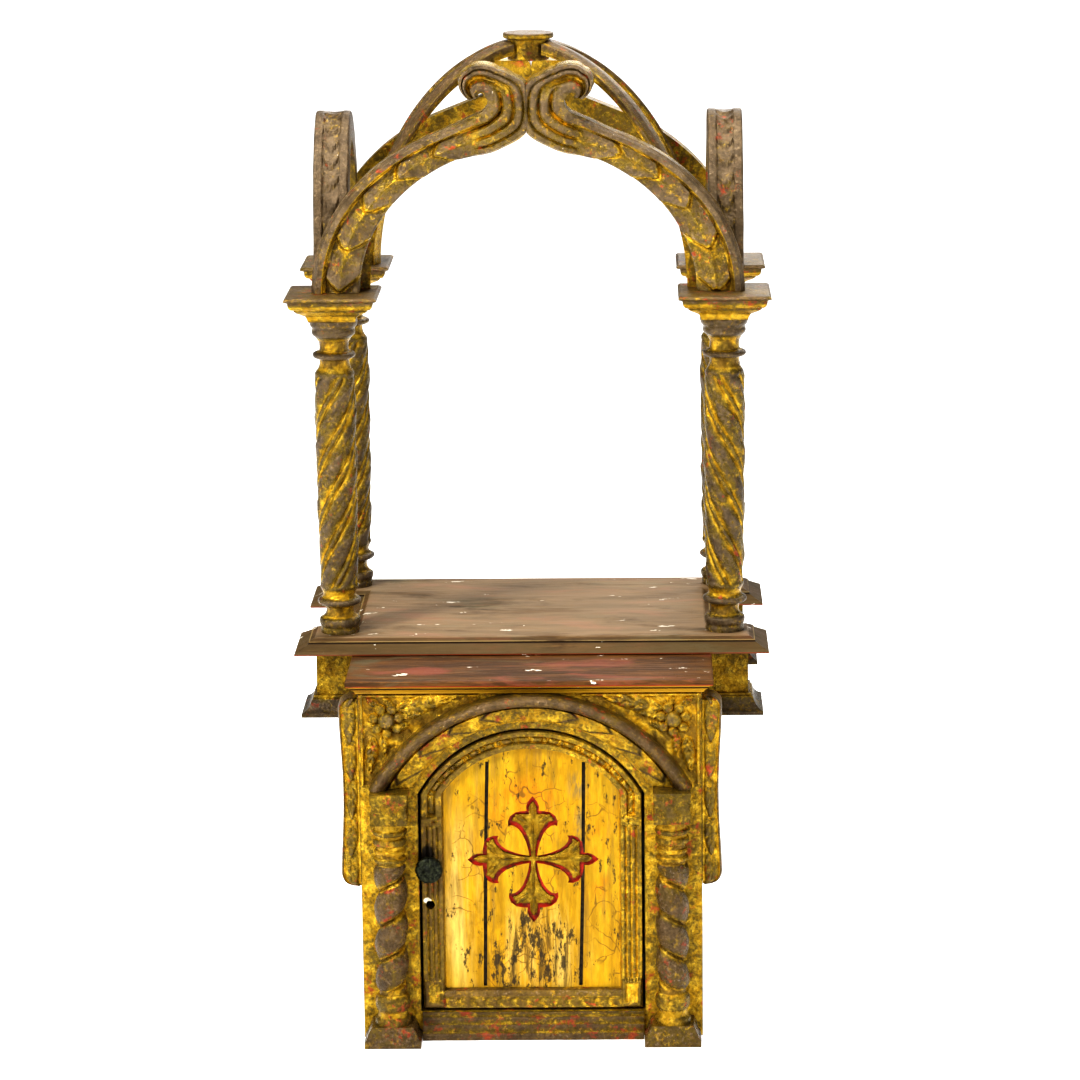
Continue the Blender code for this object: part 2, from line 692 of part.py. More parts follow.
def make_side_arch(side, hand):
    # across from the inner face to the outer one, drop from the outer curve
    section = (
        (0.00, None), (0.00, 0.0020), (0.12, 0.0000), (0.24, 0.0034), (0.50, 0.0034),
        (0.76, 0.0034), (0.88, 0.0000), (1.00, 0.0020), (1.00, None),
    )
    steps = 18
    rings = []
    for i in range(steps + 1):
        t = pi * i / steps
        outer = (SIDE_OUTER[0] * cos(t), SIDE_OUTER[1] * sin(t))
        inner = (SIDE_INNER[0] * cos(t), SIDE_INNER[1] * sin(t))
        length = sqrt((outer[0] - inner[0]) ** 2 + (outer[1] - inner[1]) ** 2)
        ring = []
        for share, drop in section:
            way = 1 if drop is None else drop / length
            if share == 0.5 and i % 2:
                way = HUSK_TIP / length
            y = outer[0] + (inner[0] - outer[0]) * way
            z = outer[1] + (inner[1] - outer[1]) * way
            ring.append((hand * (SIDE_IN + (SIDE_OUT - SIDE_IN) * share), CANOPY_Y + y, SPRING + GAP + z))
        rings.append(ring)
    smooth(build(f"side_arch_{side}", [loft(rings)], GILT), 40)


def curve(shape, s):
    """Height of a rib's curve at a distance from the middle."""
    reach, rise, power = shape
    return rise * max(0, 1 - (s / reach) ** power) ** (1 / power)


def make_rib(name, sx, sy):
    """Diagonal rib from a capital to the boss, cut flush with the arches beside it."""
    along = Vector((RIB_WAY[0] * sx, RIB_WAY[1] * sy)).normalized()
    across = (-along[1], along[0])
    start = BOSS_R + 2 * GAP
    steps = 10
    rings = []
    for i in range(steps + 1):
        t = pi / 2 * i / steps
        s_out = start + (RIB_OUTER[0] - start) * sin(t)
        z_out = curve(RIB_OUTER, s_out)
        s_in = start + (RIB_INNER[0] - start) * sin(t)
        z_in = curve(RIB_INNER, s_in)
        ring = []
        for side, share in ((-1, 1), (1, 1), (1, 0.12), (0, -0.10), (-1, 0.12)):
            s = s_out + (s_in - s_out) * share
            z = SPRING + GAP + max(0, z_out + (z_in - z_out) * share)
            x = along[0] * s + across[0] * side * RIB_HALF
            y = along[1] * s + across[1] * side * RIB_HALF
            ring.append((x, CANOPY_Y + y, z))
        rings.append(ring)
    trims = (
        ((0, CANOPY_Y + sy * (OGEE_NEAR - GAP), 0), (0, sy, 0)),
        ((0, CANOPY_Y + sy * GAP / 2, 0), (0, -sy, 0)),
        ((sx * (SIDE_IN - GAP), 0, 0), (sx, 0, 0)),
    )
    build(f"rib_{name}", [loft(rings)], WORN, trims)


def make_boss():
    rows = (
        (0.0120, BOSS_BOTTOM - 0.004), (0.0195, BOSS_BOTTOM), (BOSS_R, BOSS_BOTTOM + 0.002),
        (BOSS_R, BOSS_RIM), (BOSS_TOP_R, BOSS_RIM + 0.0006), (BOSS_TOP_R, TOP - 0.001),
        (BOSS_TOP_R - 0.001, TOP),
    )
    rings = []
    for r, z in rows:
        rings.append([(r * cos(a), CANOPY_Y + r * sin(a), z) for a in [2 * pi * k / 16 for k in range(16)]])
    smooth(build("boss", [loft(rings)], WORN))


for old in list(bpy.data.objects):
    bpy.data.objects.remove(old, do_unlink=True)

make_boards()
make_shelf()
make_facade()
make_archivolt()
make_sill()
for side, hand in (("left", -1), ("right", 1)):
    make_colonette(side, hand)
    make_wing(side, hand)
    make_side_arch(side, hand)
make_knob(make_door())
make_hinges()
make_platform()
make_ogees()
for depth, sy in (("front", -1), ("back", 1)):
    for side, sx in (("left", -1), ("right", 1)):
        corner = f"{depth}_{side}"
        make_pedestal(corner, sx, sy)
        make_column(corner, sx, sy)
        make_capital(corner, sx, sy)
        make_rib(corner, sx, sy)
make_boss()
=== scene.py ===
"""Altar tabernacle in carved, painted and gilded wood: its looks over the fixed frame."""
from math import asin, cos, pi, radians, sin, sqrt

import bmesh
import bpy
import numpy as np
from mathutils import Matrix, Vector


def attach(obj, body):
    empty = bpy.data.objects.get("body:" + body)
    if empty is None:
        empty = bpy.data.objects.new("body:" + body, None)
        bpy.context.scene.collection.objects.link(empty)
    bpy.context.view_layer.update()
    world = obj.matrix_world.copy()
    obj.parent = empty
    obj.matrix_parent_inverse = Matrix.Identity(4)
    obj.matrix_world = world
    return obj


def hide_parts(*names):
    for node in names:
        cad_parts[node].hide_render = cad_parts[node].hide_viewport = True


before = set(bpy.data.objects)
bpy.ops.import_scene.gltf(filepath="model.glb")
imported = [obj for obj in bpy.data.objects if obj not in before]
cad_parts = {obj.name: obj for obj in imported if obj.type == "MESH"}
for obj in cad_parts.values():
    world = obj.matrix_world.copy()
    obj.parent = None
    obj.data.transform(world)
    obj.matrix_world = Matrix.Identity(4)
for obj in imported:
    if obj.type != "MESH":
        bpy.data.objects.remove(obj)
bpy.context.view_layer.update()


# Places that several pieces share, in metres

CANOPY_Y = 0.0665
COLUMN_X = 0.2132
COLUMN_DY = 0.1115
FACADE_Y = -0.1905
SPRING = 0.8038
SHELF_BACK = 0.2040
FACADE_HALF = 0.1855
SIDE_X = 0.1858
BLOCK_HALF = 0.0255
FACADE_TOP = 0.3905
DOOR_ARC_Z = 0.2104
OUTER_ARC_Z = 0.1918
SPANDREL_ARC = 0.1955
INSIDE_DEPTH = 0.0197
KEYHOLE = (-0.1108, 0.1511)
KNOB = (-0.1112, 0.1940)
CROSS = (0.0015, 0.2002)


# Materials


class Nodes:
    """Makes the shader nodes of one material; values are numbers, colours or other nodes' outputs."""

    def __init__(self, name):
        self.mat = bpy.data.materials.new(name)
        self.mat.use_nodes = True
        self.tree = self.mat.node_tree
        self.shader = self.tree.nodes["Principled BSDF"]
        self.coords = self.tree.nodes.new("ShaderNodeTexCoord").outputs["Object"]

    def link(self, value, socket):
        if isinstance(value, bpy.types.NodeSocket):
            self.tree.links.new(value, socket)
        else:
            socket.default_value = value

    def add(self, kind, inputs, **settings):
        """A node with its settings made and its inputs filled; returns its outputs."""
        node = self.tree.nodes.new("ShaderNode" + kind)
        for key, value in settings.items():
            setattr(node, key, value)
        for key, value in inputs.items():
            self.link(value, node.inputs[key])
        return node.outputs

    def noise(self, scale, detail=4.0, rough=0.55, stretch=(1, 1, 1), offset=(0, 0, 0), distort=0.0):
        places = self.add("Mapping", {"Scale": stretch, "Location": offset, "Vector": self.coords})
        values = {"Scale": scale, "Detail": detail, "Roughness": rough, "Distortion": distort}
        return self.add("TexNoise", {**values, "Vector": places["Vector"]})["Fac"]

    def cracks(self, scale, bend_scale, bend):
        """Distance to the edge of cells that are bent out of true."""
        warp = self.add("TexNoise", {"Scale": bend_scale, "Vector": self.coords})["Color"]
        inputs = {0: warp, 1: (bend, bend, bend), 2: self.coords}
        bent = self.add("VectorMath", inputs, operation="MULTIPLY_ADD")["Vector"]
        cells = self.add("TexVoronoi", {"Scale": scale, "Vector": bent}, feature="DISTANCE_TO_EDGE")
        return cells["Distance"]

    def math(self, kind, *values):
        return self.add("Math", dict(enumerate(values)), operation=kind)[0]

    def product(self, first, *others):
        for other in others:
            first = self.math("MULTIPLY", first, other)
        return first

    def step(self, value, low, high, to_low=0.0, to_high=1.0):
        """A soft step from low to high; with low above high it falls instead."""
        ends = {"From Min": low, "From Max": high, "To Min": to_low, "To Max": to_high}
        return self.add("MapRange", {"Value": value, **ends}, interpolation_type="SMOOTHSTEP")["Result"]

    def mix(self, share, a, b):
        a, b = ((*c, 1) if isinstance(c, tuple) else c for c in (a, b))
        return self.add("Mix", {"Factor": share, "A": a, "B": b}, data_type="RGBA")["Result"]

    def lay(self, colour, paint, *masks):
        """The colour with paint over it, as strong as the product of the masks."""
        return self.mix(self.product(*masks), colour, paint)

    def times(self, colour, amount):
        return self.add("VectorMath", {0: colour, "Scale": amount}, operation="SCALE")[0]

    def axis(self, which):
        return self.add("SeparateXYZ", {"Vector": self.coords})[which]

    def away(self, x, y, z, rx, ry, rz):
        """Distance from a place, in units of the given radii; a place of None is left out."""
        total = 0.0
        for which, centre, radius in (("X", x, rx), ("Y", y, ry), ("Z", z, rz)):
            if centre is not None:
                part = self.math("MULTIPLY_ADD", self.axis(which), 1 / radius, -centre / radius)
                total = self.math("MULTIPLY_ADD", part, part, total)
        return self.math("SQRT", total)

    def spot(self, x, z, half_wide, half_high, outside, inside):
        """1 around a place on the front, fading to 0 between two distances."""
        return self.step(self.away(x, None, z, half_wide, 1, half_high), outside, inside)

    def relief(self):
        """The carving height that each mesh keeps, 0 in hollows and 1 on top."""
        return self.add("Attribute", {}, attribute_name="relief")["Fac"]

    def finish(self, colour, roughness, metallic, height, depth):
        bump = self.add("Bump", {"Strength": 0.8, "Distance": depth, "Height": height})
        values = {
            "Base Color": colour, "Roughness": roughness, "Metallic": metallic,
            "Specular IOR Level": 0.2, "Normal": bump["Normal"],
        }
        for key, value in values.items():
            self.link(value, self.shader.inputs[key])
        return self.mat


GOLD = (0.42, 0.237, 0.011)
GOLD_PALE = (0.63, 0.405, 0.036)
OLIVE = (0.097, 0.070, 0.014)
TAUPE = (0.106, 0.074, 0.041)
LILAC = (0.115, 0.073, 0.033)
BROWN = (0.044, 0.027, 0.012)
BOLE = (0.30, 0.042, 0.014)
# dark colour for soot spots and marks, and for painted shade in a groove
SOOT_AND_SHADE = (0.018, 0.013, 0.008)
GESSO = (0.72, 0.66, 0.54)
# pale colour of the painted highlight on ridge tops
RIDGE_HIGHLIGHT = (0.31, 0.225, 0.130)


def shade(colour, share):
    return tuple(c * share for c in colour)


def old_gilding(
    name, wear, raised=TAUPE, red=0.5, seed=0.0, lean=0.0, contrast=0.55, level=1.0, gloss=0.0, marks=(),
):
    """Gold in the hollows, rubbed through to olive, brown and red clay where the carving stands up, with
    painted shade darkening the deepest hollows and a painted highlight on the ridge tops.

    wear moves the whole from gold to brown, contrast says how much of that follows the carving,
    and lean adds wear towards the right; marks are (x, z, half width, half height, colour).
    """
    n = Nodes(name)
    shift = (seed, seed * 1.7, seed * 2.3)
    broad = n.noise(13, 5, 0.6, offset=shift)
    patch = n.noise(62, 6, 0.66, offset=shift, distort=0.5)
    fleck = n.noise(260, 5, 0.72, offset=shift)
    relief = n.relief()
    worn = n.math("MULTIPLY_ADD", relief, contrast, wear - 0.36)
    for grain, amount in ((broad, 0.6), (patch, 0.6), (fleck, 0.8)):
        worn = n.math("MULTIPLY_ADD", n.math("SUBTRACT", grain, 0.5), amount, worn)
    if lean:
        worn = n.math("MULTIPLY_ADD", n.axis("X"), lean, worn)
    brown = n.step(worn, 0.34, 0.70)
    bright = n.step(n.noise(90, 5, 0.65, offset=(seed, 8, 3)), 0.42, 0.62)
    gold = n.mix(bright, GOLD, GOLD_PALE)
    colour = n.lay(gold, OLIVE, n.step(worn, 0.08, 0.42), 0.9)
    colour = n.mix(brown, colour, raised)
    grey = n.step(n.noise(33, 5, 0.6, offset=(3, seed, 9)), 0.45, 0.65)
    colour = n.lay(colour, BROWN, grey, brown, 0.5)
    glint = n.step(n.noise(150, 6, 0.72, offset=(seed, 1, 6), distort=0.3), 0.54, 0.64)
    colour = n.lay(colour, gold, glint, n.step(worn, 0.85, 0.45), 0.55)
    clay = n.step(n.noise(60, 6, 0.74, offset=(seed + 4, seed, 1)), 0.65 - 0.10 * red, 0.70 - 0.08 * red)
    half_worn = n.product(n.step(worn, 0.14, 0.28), n.step(worn, 0.80, 0.55))
    clay = n.product(clay, half_worn, 0.80)
    colour = n.mix(clay, colour, BOLE)
    dark = n.step(n.noise(85, 7, 0.78, offset=(seed, 3, seed)), 0.58, 0.70)
    colour = n.lay(colour, SOOT_AND_SHADE, dark, 0.70)
    # painted shade: the deepest hollows darkened towards brown, broken up by noise
    colour = n.lay(colour, BROWN, n.step(relief, 0.16, 0.0), n.step(patch, 0.38, 0.54), 0.70)
    # painted highlight: a pale colour laid in flecks on the ridge tops
    colour = n.lay(colour, RIDGE_HIGHLIGHT, n.step(relief, 0.70, 1.0), n.step(fleck, 0.54, 0.68), 0.50)
    white = n.step(n.noise(260, 2, 0.5, offset=(2, seed, 5)), 0.78, 0.80)
    colour = n.lay(colour, GESSO, white, n.step(worn, 0.4, 0.6))
    for x, z, half_wide, half_high, mark_colour in marks:
        ragged = n.math("MULTIPLY_ADD", fleck, 1.2, n.away(x, None, z, half_wide, 1, half_high))
        colour = n.mix(n.step(ragged, 1.80, 1.35), colour, mark_colour)
    tick = n.step(n.noise(300, 4, 0.6, offset=(seed, 2, 8)), 0.36, 0.64, 0.84, 1.18)
    tone = n.step(n.noise(95, 4, 0.6, offset=(seed, 7, 4)), 0.36, 0.64, 0.84 * level, 1.14 * level)
    colour = n.times(colour, n.product(tick, tone))
    metal = n.math("MULTIPLY_ADD", brown, -0.20, 0.58)
    metal = n.product(metal, n.math("SUBTRACT", 1.0, clay))
    rough = n.math("MULTIPLY_ADD", worn, 0.16, 0.24 - gloss)
    height = n.math("MULTIPLY_ADD", patch, 0.6, n.product(fleck, 0.4))
    return n.finish(colour, rough, metal, height, 0.0042)


def bare_wood(name, tone):
    """Brown wood with upright grain."""
    n = Nodes(name)
    grain = n.noise(160, 5, 0.6, (1, 1, 0.06), distort=0.3)
    broad = n.noise(9, 4, 0.5)
    colour = n.mix(n.step(grain, 0.35, 0.65), shade(tone, 0.55), tone)
    colour = n.mix(n.step(broad, 0.45, 0.75), colour, shade(tone, 0.6))
    rough = n.math("MULTIPLY_ADD", grain, 0.2, 0.6)
    return n.finish(colour, rough, 0.0, grain, 0.0008)


def painted_top(name, tone, seed, edges, behind, patch_at=None):
    """Worn brown paint with red and grey-green streaks along the length, scratches and chips, and painted
    shade in the grooves of the moulding.

    edges are (low, high, colour, strength) for the mouldings ahead of the line called behind.
    """
    n = Nodes(name)
    shift = (seed, 2, seed)
    streak = n.noise(60, 7, 0.70, (0.10, 1, 1), shift, 0.5)
    patch = n.noise(22, 6, 0.66, (0.35, 1, 1), (seed, seed, 7), 0.5)
    fine = n.noise(240, 5, 0.65, (0.12, 1, 1), shift)
    colour = n.mix(n.step(streak, 0.42, 0.60), tone, shade(tone, 0.45))
    colour = n.lay(colour, (0.22, 0.062, 0.034), n.step(patch, 0.53, 0.66), 0.60)
    green = n.step(n.noise(26, 6, 0.66, (0.3, 1, 1), (9, seed, 2), 0.6), 0.53, 0.66)
    colour = n.lay(colour, (0.095, 0.088, 0.046), green, 0.6)
    colour = n.lay(colour, shade(tone, 1.7), n.step(fine, 0.53, 0.68), 0.60)
    colour = n.lay(colour, shade(tone, 0.35), n.step(fine, 0.44, 0.30), 0.6)
    if patch_at:
        ragged = n.noise(70, 5, 0.7, (0.4, 1, 1), (1, 1, 1))
        spot = n.step(n.math("MULTIPLY_ADD", ragged, 1.2, n.away(*patch_at)), 1.70, 1.15)
        colour = n.lay(colour, (0.21, 0.052, 0.028), spot, 0.60)
    height = n.axis("Z")
    for low, high, paint_colour, strength in edges:
        colour = n.lay(
            colour, paint_colour,
            n.step(height, low - 0.0003, low), n.step(height, high + 0.0003, high), strength,
            n.step(patch, 0.30, 0.52), n.step(n.axis("Y"), behind + 0.004, behind),
        )
    # painted shade: the grooves of the moulding, where relief is low, darkened
    colour = n.lay(colour, shade(tone, 0.25), n.step(n.relief(), 0.55, 0.05))
    white = n.step(n.noise(72, 4, 0.62, (0.45, 1, 1), (5, seed, 1)), 0.672, 0.69)
    colour = n.mix(white, colour, GESSO)
    rough = n.math("MULTIPLY_ADD", streak, 0.25, 0.45)
    return n.finish(colour, rough, 0.05, n.math("ADD", fine, streak), 0.0009)


def bright_panel(name):
    """Bright gold leaf on planks, with upright streaks, dark specks and stains."""
    n = Nodes(name)
    streak = n.noise(48, 7, 0.66, (1, 1, 0.07), distort=0.2)
    fine = n.noise(190, 5, 0.7, (1, 1, 0.2))
    patch = n.noise(26, 5, 0.62, (1, 1, 0.45), (3, 0, 2), 0.5)
    colour = n.mix(n.step(streak, 0.36, 0.64), (0.34, 0.186, 0.004), (0.475, 0.290, 0.013))
    # orange above the cross and on the right plank
    glow = n.math("ADD", n.spot(-0.010, 0.262, 0.062, 0.040, 1.0, 0.2), 0.15)
    glow = n.math("MAXIMUM", glow, n.spot(0.075, 0.20, 0.016, 0.055, 1.1, 0.4))
    colour = n.lay(colour, (0.54, 0.22, 0.004), glow, n.step(patch, 0.42, 0.60))
    rich = n.step(n.noise(17, 5, 0.66, (1, 1, 0.6), (8, 0, 4), 0.8), 0.50, 0.58)
    colour = n.lay(colour, (0.49, 0.268, 0.006), rich, 0.75)
    # pale bands on the left plank and under the cross
    pale = n.spot(-0.078, 0.150, 0.026, 0.110, 1.2, 0.5)
    pale = n.math("MAXIMUM", pale, n.spot(0.010, 0.100, 0.050, 0.060, 1.3, 0.5))
    colour = n.lay(colour, (0.60, 0.42, 0.130), pale, n.step(streak, 0.40, 0.62), 0.65)
    brush = n.step(n.noise(75, 6, 0.7, (1, 1, 0.10), (4, 0, 1), 0.3), 0.53, 0.66)
    colour = n.lay(colour, (0.24, 0.145, 0.030), brush, 0.55)
    # grey-green stain beside the right groove
    stain = n.spot(0.050, 0.283, 0.012, 0.018, 1.2, 0.3)
    stain = n.math("MAXIMUM", stain, n.spot(0.052, 0.235, 0.007, 0.030, 1.2, 0.3))
    colour = n.lay(colour, (0.13, 0.11, 0.06), stain, n.step(fine, 0.38, 0.58), 0.75)
    # soot streaks, cracks and dark specks, thickest under the cross
    low = n.spot(0.002, 0.085, 0.052, 0.055, 1.35, 0.5)
    soot = n.step(n.noise(120, 6, 0.7, (1, 1, 0.09), (7, 0, 2), 0.4), 0.48, 0.62)
    colour = n.lay(colour, (0.050, 0.030, 0.008), soot, n.math("MULTIPLY_ADD", low, 0.70, 0.16))
    crack = n.step(n.cracks(38.0, 26.0, 0.045), 0.034, 0.008)
    colour = n.lay(colour, (0.14, 0.075, 0.010), crack, n.step(patch, 0.47, 0.58), 0.75)
    speck = n.noise(105, 7, 0.78, (1, 1, 0.38), (0, 0, 5))
    dense = n.math("MULTIPLY_ADD", low, -0.074, 0.576)
    dark = n.product(n.math("SUBTRACT", speck, dense), 22.0)
    dark = n.math("MINIMUM", n.math("MAXIMUM", dark, 0.0), 0.9)
    colour = n.mix(dark, colour, (0.022, 0.014, 0.005))
    tone = n.step(n.noise(150, 5, 0.65, (1, 1, 0.25), (6, 0, 6)), 0.36, 0.64, 0.86, 1.12)
    metal = n.math("MULTIPLY_ADD", dark, -0.3, 0.34)
    rough = n.math("MULTIPLY_ADD", fine, 0.2, 0.34)
    return n.finish(n.times(colour, tone), rough, metal, n.math("ADD", fine, streak), 0.0008)


def dark_iron(name):
    n = Nodes(name)
    spots = n.noise(240, 4, 0.6)
    colour = n.mix(n.step(spots, 0.4, 0.7), (0.010, 0.011, 0.007), (0.050, 0.055, 0.030))
    colour = n.mix(n.step(n.relief(), 0.35, 0.0), colour, (0.006, 0.006, 0.004))
    rough = n.math("MULTIPLY_ADD", spots, 0.3, 0.35)
    return n.finish(colour, rough, 0.55, spots, 0.0006)


def mottled(name, first, second, scale):
    n = Nodes(name)
    spots = n.noise(scale, 6, 0.7)
    colour = n.mix(n.step(spots, 0.42, 0.60), first, second)
    return n.finish(colour, 0.55, 0.0, spots, 0.0006)


PLATFORM_EDGES = (
    (0.4070, 0.4174, (0.080, 0.050, 0.016), 0.80),
    (0.4196, 0.4224, (0.085, 0.050, 0.018), 0.55),
    (0.4193, 0.4199, (0.34, 0.24, 0.09), 0.55),
    (0.4226, 0.4236, (0.30, 0.21, 0.12), 0.5),
    (0.4080, 0.4088, BOLE, 0.6),
)
# the third shelf band is painted shade: a dark line laid in the groove under the front fillet
SHELF_EDGES = (
    (0.3905, 0.4002, GOLD, 0.9), (0.4002, 0.4012, BOLE, 0.9), (0.3962, 0.3972, SOOT_AND_SHADE, 0.8),
)
SHELF_RED_PATCH = (-0.115, -0.160, None, 0.035, 0.020, 1)
PALE_CHIP = (-0.1140, 0.1565, 0.0040, 0.0030, GESSO)
DARK_MARK = (-0.1130, 0.2080, 0.0075, 0.0110, SOOT_AND_SHADE)


MATS = {
    "gilt": old_gilding("old_gilding", 0.46, level=0.62),
    "column": old_gilding("column_gilding", 0.46, seed=1.3, red=0.4, level=0.95, gloss=0.05),
    "worn": old_gilding("worn_gilding", 0.54, raised=LILAC, red=0.8, seed=2.1),
    "arch": old_gilding("arch_gilding", 0.52, seed=3.7, red=0.5, level=1.26, gloss=0.04),
    "side": old_gilding("side_arch_paint", 0.80, raised=TAUPE, red=0.7, seed=4.4, contrast=0.40, level=1.08),
    "capital": old_gilding("capital_gilding", 0.42, raised=LILAC, red=0.7, seed=1.9, level=0.95),
    "sill": old_gilding("sill_gilding", 0.62, raised=LILAC, red=1.1, seed=2.7, contrast=0.45, level=0.76),
    "small": old_gilding("colonette_gilding", 0.44, raised=LILAC, red=0.9, seed=7.3, level=0.78, gloss=0.07),
    "moulding": old_gilding("moulding_gilding", 0.48, raised=LILAC, red=0.7, seed=5.2, level=0.92),
    "front": old_gilding("front_gilding", 0.42, seed=6.1, red=0.7, level=1.14),
    "frame": old_gilding(
        "frame_gilding", 0.46, raised=(0.115, 0.070, 0.018), seed=8.2, red=0.5, lean=-0.85, level=1.3,
        marks=(PALE_CHIP, DARK_MARK),
    ),
    "cross": old_gilding("cross_gilding", 0.34, seed=9.4, red=0.4, contrast=0.35, level=0.55),
    "platform": painted_top("platform_paint", (0.104, 0.056, 0.017), 0.5, PLATFORM_EDGES, 1.0),
    "shelf": painted_top("shelf_paint", (0.110, 0.045, 0.0075), 3.5, SHELF_EDGES, -0.086, SHELF_RED_PATCH),
    "panel": bright_panel("door_gilding"),
    "groove": mottled("groove_brown", (0.050, 0.032, 0.012), (0.018, 0.012, 0.006), 150),
    "bole": mottled("red_clay", (0.40, 0.026, 0.010), (0.17, 0.028, 0.012), 130),
    "wood": bare_wood("bare_wood", (0.150, 0.088, 0.048)),
    "iron": dark_iron("dark_iron"),
}

CAD_LOOKS = {
    "cabinet_side": "wood", "cabinet_back": "wood", "cabinet_floor": "wood", "cabinet_top": "shelf",
    "facade": "front", "archivolt": "moulding", "colonette": "worn", "sill": "front", "wing": "front",
    "door": "panel", "knob": "iron", "hinge": "iron", "platform": "platform", "pedestal": "gilt",
    "column": "column", "capital": "worn", "front_arch": "arch", "back_arch": "worn",
    "side_arch": "side", "rib": "worn", "boss": "worn",
}
for name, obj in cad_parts.items():
    key = max((k for k in CAD_LOOKS if name.startswith(k)), key=len)
    obj.data.materials.clear()
    obj.data.materials.append(MATS[CAD_LOOKS[key]])


# Mesh helpers


def add_object(name, data):
    obj = bpy.data.objects.new(name, data)
    bpy.context.scene.collection.objects.link(obj)
    return obj


def outward_mesh(name, verts, faces):
    """A closed mesh whose faces all look outwards."""
    mesh = bpy.data.meshes.new(name)
    mesh.from_pydata([tuple(v) for v in verts], [], faces)
    bm = bmesh.new()
    bm.from_mesh(mesh)
    bmesh.ops.recalc_face_normals(bm, faces=bm.faces[:])
    bm.to_mesh(mesh)
    bm.free()
    return mesh


def place(mesh, material, slot, nodes=(), body="cabinet", angle=40):
    """Puts a mesh into the scene as a piece, in the place of CAD nodes where it replaces some."""
    mesh.materials.append(MATS[material])
    mesh.shade_smooth()
    mesh.set_sharp_from_angle(angle=radians(angle))
    obj = add_object(mesh.name, mesh)
    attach(obj, body)
    if nodes:
        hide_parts(*nodes)
    return obj


def make(name, verts, faces, material, relief, **extra):
    """A piece from points and faces, with its carving height kept for the finish."""
    mesh = outward_mesh(name, verts, faces)
    if relief is not None:
        attribute = mesh.attributes.new("relief", "FLOAT", "POINT")
        attribute.data.foreach_set("value", np.asarray(relief, np.float32).ravel())
    return place(mesh, material, **extra)


def tube_faces(nu, nv, start=0):
    """Quads over a grid that closes across, with flat ends."""
    u = np.arange(nu - 1)[:, None] * nv
    v = np.arange(nv)[None, :]
    w = (v + 1) % nv
    quads = np.stack([u + v, u + w, u + nv + w, u + nv + v], -1).reshape(-1, 4) + start
    first = [start + k for k in range(nv)]
    last = [start + (nu - 1) * nv + k for k in range(nv)]
    return [*quads.tolist(), first[::-1], last]


def tube(name, grid, material, relief, **extra):
    return make(name, grid.reshape(-1, 3), tube_faces(*grid.shape[:2]), material, relief, **extra)


def wobble(x, y, z, size, scale, seed):
    """Slow unevenness of hand work."""
    a = np.sin(scale * x + 1.3 * scale * z + seed) + np.sin(1.7 * scale * y - 0.9 * scale * z + 2 * seed)
    b = np.sin(0.6 * scale * (x + y) + 2.1 * scale * z + 3 * seed) + np.sin(2.3 * scale * (x - y) + seed)
    return size * 0.35 * (a + b)


def smoothstep(x, low, high):
    """Rises softly from 0 at low to 1 at high."""
    t = np.clip((x - low) / (high - low), 0, 1)
    return t * t * (3 - 2 * t)


def fall(x, low, high):
    """Falls softly from 1 at low to 0 at high."""
    return smoothstep(-x, -high, -low)


def between(x, low, low_full, high_full, high):
    """Rises from 0 at low to 1 at low_full, and falls from high_full to 0 at high."""
    return smoothstep(x, low, low_full) * fall(x, high_full, high)


def hump(x, centre, half):
    """A half round, 1 at the centre and 0 from half a width away."""
    return np.sqrt(np.clip(1 - ((x - centre) / half) ** 2, 0, 1))


def bell(x, centre, spread):
    return np.exp(-((x - centre) / spread) ** 2)


def run_along(a, b):
    """Distance along a line through the points (a, b), starting from 0."""
    return np.concatenate([[0], np.cumsum(np.hypot(np.diff(a), np.diff(b)))])


def read_rows(at, places, table):
    """The columns of a table as they are at the given places between its rows."""
    return [np.interp(at, places, column) for column in np.asarray(table).T]


def edged(relief, first, last):
    """Carving heights with one plain value before and one after each row."""
    one = np.ones((len(relief), 1))
    return np.concatenate([first * one, relief, last * one], 1)


def soften(values, width):
    """Running mean along the first axis that keeps the ends."""
    kernel = np.hanning(2 * width + 3)[1:-1]
    kernel /= kernel.sum()
    padded = np.concatenate([
        2 * values[:1] - values[width:0:-1], values, 2 * values[-1:] - values[-2:-width - 2:-1]
    ])
    flat = padded.reshape(len(padded), -1)
    done = np.stack([np.convolve(flat[:, k], kernel, "valid") for k in range(flat.shape[1])], -1)
    return done.reshape(values.shape)


def profile_rows(table, step):
    """Rows (height, radius) at even spacing along a profile, its corners kept a little soft."""
    z, r = np.array(table).T
    run = run_along(z, r)
    at = np.linspace(0, run[-1], int(run[-1] / step) + 1)
    both = np.stack(read_rows(at, run, table), -1)
    done = soften(both, 2)
    done[0], done[-1] = both[0], both[-1]
    return done


# Boards


def shelf_plan(inset):
    """The board on the cabinet: wide ahead of the pedestals, narrow between them."""
    wide = 0.1977 - inset
    narrow = 0.1852 - min(inset, 0.004)
    front = FACADE_Y - 0.015 + inset
    step = CANOPY_Y - COLUMN_DY - 0.0460 - inset
    return (
        (-wide, front), (wide, front), (wide, step), (narrow, step),
        (narrow, SHELF_BACK), (-narrow, SHELF_BACK), (-narrow, step), (-wide, step),
    )


def platform_plan(inset):
    """A slab whose long sides are straight and whose ends are notched in the middle."""
    x, y, waist, notch = 0.2610 - inset, 0.1620 - inset, 0.2140 - inset, 0.0630 + inset
    plan = (
        (-x, -y), (x, -y), (x, -notch), (waist, -notch), (waist, notch), (x, notch),
        (x, y), (-x, y), (-x, notch), (-waist, notch), (-waist, -notch), (-x, -notch),
    )
    return tuple((px, CANOPY_Y + py) for px, py in plan)


# Moulded edges of the boards: (inset, height, raised)

